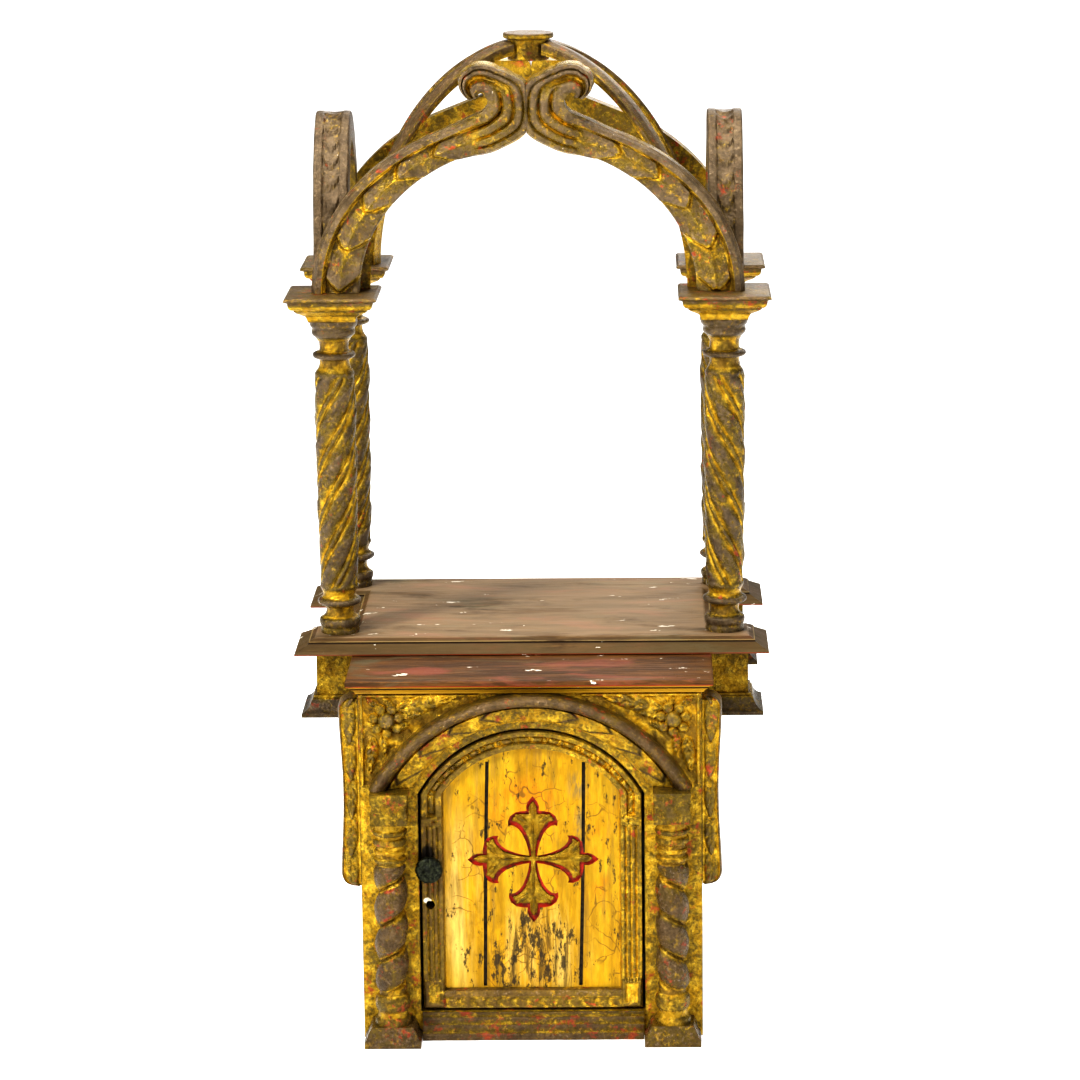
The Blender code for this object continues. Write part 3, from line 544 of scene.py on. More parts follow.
SHELF = (
    (0.0100, 0.3909, 0.8), (0.0095, 0.3930, 0.8), (0.0068, 0.3952, 0.9), (0.0050, 0.3963, 1.0),
    (0.0054, 0.3966, 0.0), (0.0050, 0.3976, 0.0), (0.0042, 0.3984, 1.0), (0.0010, 0.4002, 1.0),
    (0.0000, 0.4018, 1.0), (0.0000, 0.4056, 1.0), (0.0012, 0.4067, 1.0),
)
PLATFORM = (
    (0.0004, 0.4075, 0.8), (0.0000, 0.4080, 1.0), (0.0000, 0.4092, 1.0), (0.0012, 0.4104, 0.9),
    (0.0040, 0.4118, 1.0), (0.0085, 0.4142, 1.0), (0.0134, 0.4170, 1.0), (0.0142, 0.4174, 0.1),
    (0.0152, 0.4180, 0.0), (0.0152, 0.4188, 0.1), (0.0148, 0.4194, 1.0), (0.0178, 0.4208, 1.0),
    (0.0205, 0.4222, 1.0), (0.0224, 0.4228, 0.4), (0.0226, 0.4233, 1.0), (0.0245, 0.4235, 1.0),
)


def board(name, plan, profile, material, node, slot):
    """A slab with a moulded edge; the profile's rows are (inset, height, raised)."""
    table = np.array(profile)
    run = run_along(table[:, 0], table[:, 1])
    fine = np.unique(np.concatenate([run, np.arange(0, run[-1], 0.0007)]))
    inset, z, raised = read_rows(fine, run, table)
    corners = np.array(plan(0.0))
    counts = [int(np.hypot(*(b - a)) / 0.010) + 1 for a, b in zip(corners, np.roll(corners, -1, 0))]
    rings = []
    for own, height in zip(inset, z):
        corners = np.array(plan(own))
        ring = []
        for count, a, b in zip(counts, corners, np.roll(corners, -1, 0)):
            ring += [(*(a + (b - a) * k / count), height) for k in range(count)]
        rings.append(ring)
    grid = np.array(rings)
    relief = np.repeat(raised[:, None], grid.shape[1], 1)
    tube(name, grid, material, relief, nodes=[node], slot=slot, angle=25)


# Columns


def strand(s):
    """Height across one strand of the twist, 0 in the groove and 1 on top."""
    broad = hump(s, 0.36, 0.345)
    fillet = 0.62 * hump(s, 0.85, 0.10)
    return np.maximum(broad, fillet)


# Turned parts of a column: (height, radius)

COLUMN = (
    (0.4238, 0.0212), (0.4298, 0.0215), (0.4302, 0.0204), (0.4318, 0.0214), (0.4338, 0.0225),
    (0.4362, 0.0229), (0.4388, 0.0225), (0.4406, 0.0212), (0.4412, 0.0190), (0.4450, 0.0162),
    (0.4493, 0.0152), (0.4535, 0.0162), (0.4552, 0.0200), (0.4566, 0.0236), (0.4592, 0.0245),
    (0.4616, 0.0236), (0.4628, 0.0200), (0.4669, 0.0172), (0.4715, 0.0190), (0.4760, 0.0218),
    (0.5300, 0.0228), (0.6000, 0.0236), (0.6700, 0.0238), (0.7080, 0.0234), (0.7150, 0.0212),
    (0.7210, 0.0172), (0.7251, 0.0161), (0.7306, 0.0162), (0.7318, 0.0215), (0.7332, 0.0236),
    (0.7347, 0.0240), (0.7364, 0.0236), (0.7378, 0.0215), (0.7392, 0.0165), (0.7420, 0.0159),
    (0.7494, 0.0161), (0.7550, 0.0200), (0.7575, 0.0232), (0.7600, 0.0240), (0.7630, 0.0232),
    (0.7644, 0.0226), (0.7668, 0.0252), (0.7697, 0.0261), (0.7742, 0.0264),
)


def column(corner, sx, sy, seed):
    rows = profile_rows(COLUMN, 0.0011)
    z, r = rows[:, :1], rows[:, 1:]
    low, high = 0.4745, 0.7155
    twist = -sx * 2 * pi * (np.clip(z, low, high) - low) / 0.215
    angle = np.linspace(0, 2 * pi, 96, endpoint=False)[None, :]
    body = between(z, low, low + 0.006, high - 0.006, high)
    phase = ((angle - twist) * 4 / (2 * pi) * -sx) % 1.0
    height = strand(phase)
    strand_shift = 0.37 * np.floor((angle - twist) * 2 / pi)
    leaf = (z * 19 + 1.3 * np.abs(phase - 0.36) + strand_shift + seed) % 1.0
    lift = leaf ** 1.4 * fall(leaf, 0.90, 1.0)
    vein = bell(phase, 0.36, 0.05) * fall(leaf, 0.3, 0.8)
    height = height * (1 - body * (0.34 * (1 - lift) + 0.16 * vein) * (phase < 0.72))
    radius = r - body * 0.0040 * (1 - height)
    x0, y0 = sx * COLUMN_X, CANOPY_Y + sy * COLUMN_DY
    x = x0 + radius * np.cos(angle)
    y = y0 + radius * np.sin(angle)
    zz = z + 0 * angle
    push = wobble(x, y, zz, 0.00045, 120, seed) * between(zz, 0.4245, 0.428, 0.770, 0.7738)
    x += push * np.cos(angle)
    y += push * np.sin(angle)
    plain = smoothstep(r, 0.0165, 0.0235) + 0 * angle
    relief = body * np.clip(1.25 * height - 0.10, 0, 1) + (1 - body) * plain
    tube(
        f"column_{corner}_carved", np.stack([x, y, zz], -1), "column", relief,
        nodes=[f"column_{corner}"], slot="old_gilding",
    )


# A colonette: (height, radius, how square)

COLONETTE = (
    (0.0000, 0.0308, 1), (0.0076, 0.0308, 1), (0.0084, 0.0300, 1), (0.0092, 0.0288, 1),
    (0.0180, 0.0256, 1), (0.0232, 0.0230, 1), (0.0240, 0.0222, 1), (0.0243, 0.0196, 0),
    (0.0300, 0.0196, 0), (0.0315, 0.0184, 0), (0.0338, 0.0164, 0), (0.0385, 0.0160, 0),
    (0.0410, 0.0176, 0), (0.0445, 0.0188, 0), (0.0492, 0.0191, 0), (0.0540, 0.0187, 0),
    (0.0570, 0.0172, 0), (0.0590, 0.0150, 0), (0.0640, 0.0140, 0), (0.2040, 0.0140, 0),
    (0.2078, 0.0150, 0), (0.2090, 0.0176, 0), (0.2106, 0.0182, 0), (0.2122, 0.0176, 0),
    (0.2138, 0.0150, 0), (0.2165, 0.0150, 0), (0.2180, 0.0166, 0), (0.2195, 0.0170, 0),
    (0.2212, 0.0166, 0), (0.2228, 0.0150, 0), (0.2262, 0.0154, 0), (0.2280, 0.0180, 0),
    (0.2310, 0.0187, 0), (0.2340, 0.0180, 0), (0.2356, 0.0158, 0), (0.2380, 0.0160, 0),
    (0.2392, 0.0184, 0), (0.2413, 0.0190, 0), (0.2434, 0.0184, 0), (0.2450, 0.0162, 0),
    (0.2510, 0.0160, 0), (0.2520, 0.0170, 1), (0.2524, 0.0198, 1), (0.2640, 0.0200, 1),
    (0.2660, 0.0186, 1), (0.2745, 0.0182, 1), (0.2765, 0.0200, 1), (0.2868, 0.0204, 1),
)


def colonette(side, hand, seed):
    table = np.array(COLONETTE)
    run = run_along(table[:, 0], table[:, 1])
    at = np.linspace(0, run[-1], 330)
    z, r, square = (column[:, None] for column in read_rows(at, run, table))
    angle = np.linspace(0, 2 * pi, 72, endpoint=False)[None, :] + pi / 4
    reach = np.maximum(np.abs(np.cos(angle)), np.abs(np.sin(angle)))
    reach = 1 + (reach - 1) * square
    x = r * np.cos(angle) / reach
    y = r * np.sin(angle) / reach
    body = between(z, 0.058, 0.068, 0.200, 0.209)
    turn = -hand * 2 * pi * (z - 0.143) / 0.040 + pi / 2
    lobe = np.abs(np.cos((angle - turn) / 2)) ** 0.55
    strand_r = 0.0105 + 0.0079 * lobe
    x = x * (1 - body) + body * strand_r * np.cos(angle)
    y = y * (1 - body) + body * strand_r * np.sin(angle)
    ring = smoothstep(r + 0 * angle, 0.0150, 0.0186) * 0.55 + square * np.where(z > 0.2, 0.02, 0.40)
    relief = np.where(body > 0.5, smoothstep(lobe, 0.30, 0.75), ring)
    x = x + hand * 0.1525
    y = y + FACADE_Y - 0.0188
    zz = z + 0 * angle
    push = wobble(x, y, zz, 0.0004, 140, seed) * between(zz, 0.002, 0.006, 0.282, 0.285)
    x = x + push
    y = np.clip(y + push, -0.2284, FACADE_Y - 0.0003)
    tube(
        f"colonette_{side}_carved", np.stack([x, y, zz], -1), "small", relief,
        nodes=[f"colonette_{side}"], slot="worn_wood",
    )


# Arches


def leaves(s, c, count, lead):
    """Height of a row of overlapping pointed leaves; s runs along the row and c across it.

    lead is how far each leaf reaches under the next, as a share of a leaf.
    """
    height = np.zeros(np.broadcast(s, c).shape)
    for i in range(-1, count + 1):
        along = (s * count - i) / (1 + lead)
        inside = (along > 0) & (along < 1)
        a = np.clip(along, 0, 1)
        wide = np.where(a < 0.5, 0.86 + 0.14 * np.sin(a * pi), np.cos((a - 0.5) * pi) ** 0.75)
        wide = np.clip(wide, 0.02, 1)
        across = np.abs(c) / wide
        blade = (0.30 + 0.70 * a ** 1.3) * np.sqrt(np.clip(1 - across ** 3, 0, 1))
        blade = blade - 0.20 * bell(c, 0, 0.09) * (1 - a)
        blade = blade + 0.06 * np.sin(2 * pi * (a * 4 - np.abs(c) * 1.2)) * (across < 0.9)
        blade = np.where(inside & (across < 1), np.maximum(blade, 0.04), 0)
        over = (blade > height) | (inside & (across < 1) & (a > 0.45))
        height = np.where(over, np.maximum(blade, 0.0), height)
    return height


def shingles(s, c, count, point):
    """Overlapping leaf ends along a band: rise of each face, and how near its edge is.

    s runs towards the tips, c across the band with 0 where the tips point; point is how far
    a tip reaches beyond the sides, as a share of a leaf.
    """
    place = s * count + point * np.abs(c)
    share = place - np.floor(place)
    rise = share ** 1.3 * fall(share, 0.955, 1.0)
    edge = np.maximum(0.75 * smoothstep(share, 0.88, 0.94), fall(share, 0.02, 0.09))
    return rise, edge


# Curls at the lower end of an ogee half: (turn in degrees, far radius, near radius)

VOLUTE = (
    (0, 0.0635, 0.0180), (26, 0.0600, 0.0135), (52, 0.0640, 0.0100), (78, 0.0560, 0.0060),
    (105, 0.0520, 0.0045), (126, 0.0400, 0.0040), (155, 0.0355, 0.0035), (183, 0.0350, 0.0035),
    (205, 0.0345, 0.0035), (225, 0.0320, 0.0035), (250, 0.0240, 0.0035), (270, 0.0170, 0.0032),
    (288, 0.0125, 0.0030),
)
BACK_VOLUTE = (
    (0, 0.0455, 0.0030), (26, 0.0438, 0.0030), (52, 0.0529, 0.0030), (78, 0.0523, 0.0030),
    (105, 0.0505, 0.0040), (116, 0.0541, 0.0040), (126, 0.0598, 0.0040), (140, 0.0440, 0.0038),
    (155, 0.0370, 0.0035), (183, 0.0345, 0.0035), (205, 0.0345, 0.0035), (225, 0.0320, 0.0035),
    (250, 0.0240, 0.0035), (270, 0.0170, 0.0032), (288, 0.0125, 0.0030),
)


def ogee_path(count, volute, eye_z, smooth, notch):
    """Outer and inner points along an ogee half, how far each has turned into the volute, and its run."""
    t = np.linspace(0, radians(66), 160)
    outer = np.stack([0.2356 * np.cos(t), SPRING + 0.19 * np.sin(t)], -1)
    inner = np.stack([0.1835 * np.cos(t), SPRING + 0.158 * np.sin(t)], -1)
    table = np.array(volute)
    turn = np.linspace(0, 288, 200)
    far, near = read_rows(turn, table[:, 0], table[:, 1:])
    far = soften(far[:, None], smooth)[:, 0] - notch * bell(turn, 146, 3.5) - notch * bell(turn, 206, 5.0)
    near = soften(near[:, None], 9)[:, 0]
    a = np.radians(turn)
    way = np.stack([-np.sin(a), -np.cos(a)], -1)
    eye = np.array([0.049, eye_z])
    outer = np.concatenate([outer, eye + near[:, None] * way])
    inner = np.concatenate([inner, eye + far[:, None] * way])
    curl = np.concatenate([np.full(len(t), -1.0), turn / 288])
    middle = (outer + inner) / 2
    run = np.concatenate([[0], np.cumsum(np.hypot(*np.diff(middle, axis=0).T) + 0.0004)])
    at = np.linspace(0, run[-1], count)
    pack = np.stack(read_rows(at, run, np.column_stack([outer, inner, curl])), -1)
    shape = soften(pack[:, :4], 2)
    shape[0], shape[-1] = pack[0, :4], pack[-1, :4]
    return shape[:, :2], shape[:, 2:], pack[:, 4], at / run[-1]


def rich_face(v, foot, curl, hand):
    """The front arch: how deep its band and its volute lie, and how far the band counts as raised."""
    rim = 0.0075 * (1 - smoothstep(v, 0.0, 0.10)) + 0.0018
    rim = rim + 0.0062 * smoothstep(v, 0.22, 0.28)
    waves = 0.10 * np.sin(9 * foot + 4 * hand) + 0.03 * np.sin(40 * foot + 9 * v)
    bend = np.abs(v - 0.60) ** 1.3 / 0.30 + waves
    rise, edge = shingles(1 - foot, bend, 5, 0.42)
    ridge = np.clip(1 - np.abs(v - 0.60) / 0.34, 0, 1)
    band = 0.0112 - 0.0060 * rise - 0.0048 * ridge ** 1.3
    drop = np.where(v < 0.29, rim + 0 * rise, band) + 0.003 * smoothstep(v, 0.965, 1.0)
    stem = 0.0020 + 0.0075 * bell(v, 0.33, 0.042) + 0.0050 * bell(v, 0.60, 0.036)
    stem = stem + 0.0036 * bell(v, 0.82, 0.026)
    curled = 0.0008 + 0.0088 * np.exp(-(np.abs(v - 0.50) / 0.115) ** 3)
    curled = curled + 0.0030 * (1 - smoothstep(v, 0.0, 0.16)) + 0.0030 * bell(v, 0.80, 0.026)
    share = smoothstep(np.clip(curl, 0, 1)[:, None], 0.22, 0.55)
    flute = stem * (1 - share) + curled * share + 0.005 * smoothstep(v, 0.95, 1.0)
    leaf = 0.58 + 0.36 * rise - 0.85 * edge - 0.20 * ridge ** 8
    return drop, flute, np.where(v < 0.215, 1.0, np.where(v < 0.30, 0.0, leaf))


def plain_face(v, foot):
    """The back arch: a plain moulding, fluted in its volute."""
    drop = 0.0060 * (1 - smoothstep(v, 0.0, 0.12)) + 0.0035 * smoothstep(v, 0.25, 0.33)
    drop = drop + 0.006 * smoothstep(v, 0.93, 1.0) + 0 * foot
    return drop, drop - 0.001 + 0.0034 * (1 - np.abs(np.sin(4.0 * pi * v)) ** 0.8)


def ogee(name, hand, facing, material, node, rich, seed, slot):
    """One half of a front or back arch; v runs across its face from the outer to the inner edge."""
    count = 300 if rich else 200
    shape = (VOLUTE, 1.017, 9, 0.0022) if rich else (BACK_VOLUTE, 0.999, 3, 0.0)
    outer, inner, curl, run = ogee_path(count, *shape)
    v = np.linspace(0, 1, 46 if rich else 22)[None, :]
    volute = smoothstep(curl, -0.4, 0.06)[:, None]
    foot = np.clip(run / run[curl < 0].max(), 0, 1)[:, None]
    if rich:
        drop, flute, painted = rich_face(v, foot, curl, hand)
    else:
        drop, flute = plain_face(v, foot)
    drop = np.clip(drop * (1 - volute) + flute * volute, 0.0002, 0.0135)
    relief = np.clip(1.12 - drop / 0.0075, 0, 1)
    if rich:
        relief = painted * (1 - volute) + relief * volute
    x = outer[:, :1] + (inner[:, :1] - outer[:, :1]) * v
    z = outer[:, 1:] + (inner[:, 1:] - outer[:, 1:]) * v
    depth = np.minimum(0.1280 - drop + wobble(x, 0 * x, z, 0.0004, 110, seed), 0.1279)
    rear = np.full((count, 1), 0.0920)
    x = np.maximum(np.concatenate([outer[:, :1], x, inner[:, :1]], 1), 0.0002)
    y = np.concatenate([rear, depth, rear], 1)
    z = np.concatenate([outer[:, 1:], z, inner[:, 1:]], 1)
    grid = np.stack([hand * x, CANOPY_Y + facing * y, z], -1)
    tube(name, grid, material, edged(relief, 0.3, 0.2), nodes=[node], slot=slot)


def side_arch(side, hand, seed):
    t = np.linspace(0, pi, 150)[:, None]
    w = np.linspace(0, 1, 34)[None, :]
    side_share = np.abs(w - 0.5) / 0.24
    toward = np.abs(2 * t / pi - 1)
    rise, edge = shingles(toward, side_share ** 2, 10, 0.55)
    inside = side_share < 1
    drop = np.where(inside, 0.0032 - 0.0026 * rise, 0.0003 + 0.0012 * fall(side_share, 1.0, 1.12))
    drop = drop + 0.0020 * smoothstep(np.abs(w - 0.5), 0.46, 0.5)
    wide, high = 0.0915, 0.1850
    open_wide, open_high = 0.0600, 0.1520
    near_x, far_x = 0.1966, 0.2351
    length = np.hypot(0.0315 * np.cos(t), 0.033 * np.sin(t))
    y = (wide + (open_wide - wide) * drop / length) * np.cos(t)
    z = (high + (open_high - high) * drop / length) * np.sin(t)
    x = near_x + 0.0385 * w + 0 * t
    relief = np.where(inside, 0.75 - 0.75 * edge * smoothstep(toward, 0.35, 0.8), 1.0) + 0 * drop
    iy, iz = open_wide * np.cos(t), open_high * np.sin(t)
    near = np.stack([np.full_like(iy, near_x), iy, iz], -1)
    far = np.stack([np.full_like(iy, far_x), iy, iz], -1)
    outer = np.stack([x, y, z], -1)
    outer[..., 0] += wobble(outer[..., 0], y, z, 0.0002, 90, seed)
    ring = np.concatenate([near, outer, far], 1)
    grid = np.stack([hand * ring[..., 0], CANOPY_Y + ring[..., 1], SPRING + ring[..., 2]], -1)
    tube(
        f"side_arch_{side}_carved", grid, "side", edged(relief, 0.2, 0.3),
        nodes=[f"side_arch_{side}"], slot="old_gilding",
    )


def archivolt():
    outer_radius, inner_radius, foot = 0.1987, 0.1482, 0.2870
    outer_reach = asin(sqrt(outer_radius ** 2 - (foot - OUTER_ARC_Z) ** 2) / outer_radius)
    inner_reach = asin(sqrt(inner_radius ** 2 - (foot - DOOR_ARC_Z) ** 2) / inner_radius)
    turn = np.linspace(-1, 1, 220)[:, None]
    v = np.concatenate([np.linspace(0, 0.60, 26), np.linspace(0.62, 1, 20)])[None, :]
    nx = inner_radius * np.sin(inner_reach * turn)
    nz = DOOR_ARC_Z + inner_radius * np.cos(inner_reach * turn)
    fx = outer_radius * np.sin(outer_reach * turn)
    fz = np.minimum(OUTER_ARC_Z + outer_radius * np.cos(outer_reach * turn), FACADE_TOP - 0.0003)
    x = nx + (fx - nx) * v
    z = nz + (fz - nz) * v
    rise, edge = shingles(np.abs(turn) - 0.08, (v - 0.40) / 0.30, 4.5, 0.45)
    crown = fall(np.abs(turn), 0.070, 0.085)
    rise, edge = rise * (1 - crown) + 0.4 * crown, edge * (1 - crown)
    leaf = rise * fall(np.abs(v - 0.33), 0.22, 0.27)
    band = 0.0060 + 0.0085 * v / 0.6 + 0.0024 * leaf - 0.002 * fall(v, 0.0, 0.03)
    band = band - 0.0035 * smoothstep(v, 0.55, 0.60)
    bow = 0.0125 + 0.0137 * hump(v, 0.81, 0.20)
    proud = np.where(v <= 0.60, band, bow)
    flank = 0.20 + (0.10 + 0.65 * edge) * fall(np.abs(v - 0.33), 0.22, 0.28)
    relief = np.where(v <= 0.60, flank, 0.55 + 0.45 * (proud - 0.0125) / 0.0137)
    proud = proud + wobble(x, 0 * x, z, 0.0003, 90, 2.0)
    proud = np.minimum(proud, 0.0262)
    back = FACADE_Y - 0.0003
    grid = np.stack([x, FACADE_Y - proud, z], -1)
    first = np.stack([nx, np.full_like(nx, back), nz], -1)
    last = np.stack([fx, np.full_like(fx, back), fz], -1)
    ring = np.concatenate([first, grid, last], 1)
    tube("archivolt_carved", ring, "moulding", edged(relief, 0.0, 0.6), nodes=["archivolt"], slot="worn_wood")


# Cabinet front


def arched(half, bottom, radius, centre_z, side, arc, base=0):
    """Outline of a door shape from the bottom left corner, up, over and down.

    side, arc and base are the numbers of steps along those parts.
    """
    reach = asin(half / radius)
    spring = centre_z + radius * cos(reach)
    left = [(-half, bottom + (spring - bottom) * k / side) for k in range(side)]
    over = []
    for k in range(arc + 1):
        a = -reach + 2 * reach * k / arc
        over.append((radius * sin(a), centre_z + radius * cos(a)))
    right = [(half, spring + (bottom - spring) * k / side) for k in range(1, side + 1)]
    under = [(half - 2 * half * k / base, bottom) for k in range(1, base)]
    return np.array(left + over + right + under)


def loop_faces(nu, nv):
    """Quads over a grid that closes both ways."""
    u = np.arange(nu)[:, None]
    v = np.arange(nv)[None, :]
    a = u * nv + v
    b = u * nv + (v + 1) % nv
    c = (u + 1) % nu * nv + (v + 1) % nv
    d = (u + 1) % nu * nv + v
    return np.stack([a, b, c, d], -1).reshape(-1, 4).tolist()


def blob(x, z, x0, z0, x1, z1, wide, tall):
    """A ridged leaf from one point to another on the front board."""
    length = np.hypot(x1 - x0, z1 - z0)
    ux, uz = (x1 - x0) / length, (z1 - z0) / length
    along = ((x - x0) * ux + (z - z0) * uz) / length
    across = -(x - x0) * uz + (z - z0) * ux
    a = np.clip(along, 0, 1)
    width = wide * np.sin(pi * a ** 0.75) ** 0.8 + 1e-6
    c = np.abs(across) / width
    body = hump(c, 0, 1) * (0.55 + 0.45 * np.sin(pi * a))
    body = body - 0.22 * bell(across, 0, 0.14 * wide)
    body = body + 0.16 * np.sin(2 * pi * (a * 4.5 - c * 0.8)) * (c < 0.95)
    return np.where((along > 0) & (along < 1) & (c < 1), np.clip(body, 0.05, 1) * tall, 0)


def spandrel_height(x, z):
    """Carving above the arch, for the right side."""
    cx, cz = 0.1545, 0.3600
    h = np.zeros_like(x)
    for leaf in (
        (0.1450, 0.3730, 0.0780, 0.3860, 0.0095, 0.0075), (0.1400, 0.3640, 0.1080, 0.3730, 0.0052, 0.0060),
        (0.1690, 0.3420, 0.1735, 0.3000, 0.0070, 0.0070), (0.1590, 0.3450, 0.1560, 0.3190, 0.0050, 0.0055),
        (0.1620, 0.3750, 0.1760, 0.3850, 0.0052, 0.0060), (0.1480, 0.3760, 0.1580, 0.3860, 0.0040, 0.0050),
        (0.1430, 0.3530, 0.1290, 0.3560, 0.0046, 0.0055),
    ):
        h = np.maximum(h, blob(x, z, *leaf))
    for k in range(7):
        a = 2 * pi * k / 7 + 0.2
        d = np.hypot(x - cx - 0.0142 * cos(a), z - cz - 0.0142 * sin(a)) / 0.0060
        petal = hump(d, 0, 1) * 0.0068 - 0.0020 * bell(d, 0, 0.45)
        h = np.where(d < 1, np.maximum(h, petal), h)
    d = np.hypot(x - cx, z - cz) / 0.0092
    button = 0.0082 * np.clip(1 - d ** 4, 0, 1) ** 0.5 - 0.0010 * bell(d, 0, 0.25)
    h = np.where(d < 1, np.maximum(button, h), h)
    h = np.maximum(h, 0.0040 * smoothstep(x, 0.1793, 0.1803) * fall(x, 0.1822, 0.1832))
    h = np.maximum(h, 0.0036 * smoothstep(z, 0.3862, 0.3870) * fall(z, 0.3889, 0.3897))
    return h


def spandrel(side, hand):
    """The carved corner beside the arch, as a fine grid of squares with the arch left out."""
    step = 0.00095
    xs = np.arange(0.0560, 0.1850, step)
    zs = np.arange(0.2880, 0.3900, step)
    x, z = np.meshgrid(xs, zs, indexing="ij")
    h = spandrel_height(x, z)
    ground = 0.0009 + wobble(x, 0 * x, z, 0.0005, 260, hand)
    y = FACADE_Y - np.clip(ground + h, 0.0003, 0.0092)
    keep = np.hypot(x, z - OUTER_ARC_Z) > SPANDREL_ARC
    cell = keep[:-1, :-1] & keep[1:, :-1] & keep[1:, 1:] & keep[:-1, 1:]
    nz = len(zs)
    count = x.size
    front = np.stack([hand * x, y, z], -1).reshape(-1, 3)
    back = front.copy()
    back[:, 1] = FACADE_Y + 0.0010
    faces = []
    for i, k in zip(*np.nonzero(cell)):
        a, b, c, d = i * nz + k, (i + 1) * nz + k, (i + 1) * nz + k + 1, i * nz + k + 1
        faces.append((a, b, c, d))
        faces.append((d + count, c + count, b + count, a + count))
        sides = (
            (k == 0 or not cell[i, k - 1], a, b), (i == cell.shape[0] - 1 or not cell[i + 1, k], b, c),
            (k == cell.shape[1] - 1 or not cell[i, k + 1], c, d), (i == 0 or not cell[i - 1, k], d, a),
        )
        for open_side, p, q in sides:
            if open_side:
                faces.append((q, p, p + count, q + count))
    used = np.unique(np.array([v for f in faces for v in f]))
    index = np.full(2 * count, -1)
    index[used] = np.arange(len(used))
    verts = np.concatenate([front, back])[used]
    faces = [tuple(int(index[v]) for v in f) for f in faces]
    relief = np.concatenate([np.clip(h / 0.0098, 0, 0.72).ravel()] * 2)[used]
    make(f"spandrel_{side}", verts, faces, "front", relief, slot="old_gilding", angle=60)


def front_board():
    """The front board: rings of points from the arched opening out to the edges of the board."""
    inner = arched(0.1226, 0.0300, 0.1392, DOOR_ARC_Z, 30, 80)
    last = len(inner) - 1
    low = inner[30][1]
    rings = []
    for k, (x, z) in enumerate(inner):
        side = -1 if k < last / 2 else 1
        steps = min(k, last - k)
        if steps <= 30:
            outer = (side * FACADE_HALF, low * steps / 30)
        elif steps <= 50:
            outer = (side * FACADE_HALF, low + (FACADE_TOP - low) * (steps - 30) / 20)
        else:
            outer = (FACADE_HALF * (2 * (k - 50) / (last - 100) - 1), FACADE_TOP)
        y, back = FACADE_Y, FACADE_Y + 0.022
        soft = 0.0012
        d = np.array([outer[0] - x, outer[1] - z])
        d = d / np.hypot(*d) * soft
        rings.append([
            (x, back, z), (x, y + soft, z), (x + d[0], y, z + d[1]), (outer[0] - d[0], y, outer[1] - d[1]),
            (outer[0], y + soft, outer[1]), (outer[0], back, outer[1]),
        ])
    grid = np.array(rings)
    relief = np.tile([0.1, 0.75, 0.45, 0.35, 0.8, 0.2], (len(rings), 1))
    make(
        "facade_plain", grid.reshape(-1, 3), loop_faces(*grid.shape[:2]), "front", relief,
        nodes=["facade"], slot="old_gilding",
    )


def door_depth(x, z, t):
    """Depth of the door's frame behind its front plane, and how far it counts as raised."""
    side = np.abs(x)
    reed_at = np.clip((0.1201 - side) / 0.0251, 0, 1)
    reed = np.abs(np.cos(pi * np.clip((reed_at - 0.14) / 0.66, 0, 1) * 3))
    depth = np.where((reed_at > 0.14) & (reed_at < 0.80), 0.0030 - 0.0026 * reed ** 0.6, 0.0004)
    raised = np.where((reed_at > 0.14) & (reed_at < 0.80), 0.2 + 0.6 * reed, 0.55)
    # over the arch: a plain bead, a row of long and short beads, and a slope
    arc = z > 0.2505
    angle = np.arctan2(x, z - 0.2094)
    run = np.abs(angle) * 0.128
    cell = (run / 0.0190) % 1.0
    long_bead = hump(cell, 0.36, 0.31)
    short_bead = hump(cell, 0.84, 0.12)
    lens = hump(t, 0.47, 0.125)
    bead = np.maximum(long_bead, short_bead * 0.9) * lens
    channel = smoothstep(t, 0.29, 0.33) * fall(t, 0.61, 0.65)
    over = 0.0006 + 0.0038 * channel - 0.0034 * bead
    over = over + 0.0012 * smoothstep(np.abs(t - 0.16), 0.10, 0.13) * (t < 0.29)
    depth = np.where(arc, over, depth)
    raised = np.where(arc, np.where(channel > 0.5, 0.05 + 0.7 * bead, 0.6), raised)
    # bottom rail: a wavy row of leaves under a plain bevel
    rail = (z < 0.0543) & (side < 0.0965)
    up = np.clip((z - 0.0325) / 0.0135, 0, 1)
    wave = np.abs(np.sin(2 * pi * x / 0.030 + 1.2 * np.sin(pi * up)))
    low = 0.0006 + 0.0022 * smoothstep(np.sin(pi * up), 0.25, 0.6) * (1 - wave ** 1.5)
    low = np.where(z > 0.0462, 0.0004 + (z - 0.0462) * 0.25, low)
    depth = np.where(rail, low, depth)
    raised = np.where(rail, np.where(z > 0.0462, 0.95, 0.25 + 0.5 * wave), raised)
    # rings on the stiles and square blocks in the corners
    for centre in (0.2426, 0.2484):
        ring = (np.abs(z - centre) < 0.0027) & (side > 0.0950)
        bulge = hump(z, centre, 0.0027)
        depth = np.where(ring, 0.0002 - 0.0024 * bulge, depth)
        raised = np.where(ring, 0.7 * bulge, raised)
    block = (z < 0.0660) & (side > 0.0965)
    inset = np.minimum(np.minimum(0.1190 - side, side - 0.0970), np.minimum(z - 0.0335, 0.0650 - z))
    square = 0.0012 - 0.0022 * smoothstep(inset, 0.0, 0.0015) + 0.0018 * smoothstep(inset, 0.0035, 0.0055)
    depth = np.where(block, square, depth)
    raised = np.where(block, 0.75 - 0.5 * smoothstep(inset, 0.003, 0.006), raised)
    edge = smoothstep(t, 0.90, 1.0) * 0.0080
    return depth + edge + 0.0012 * fall(t, 0.0, 0.03), raised * (1 - smoothstep(t, 0.93, 1.0))


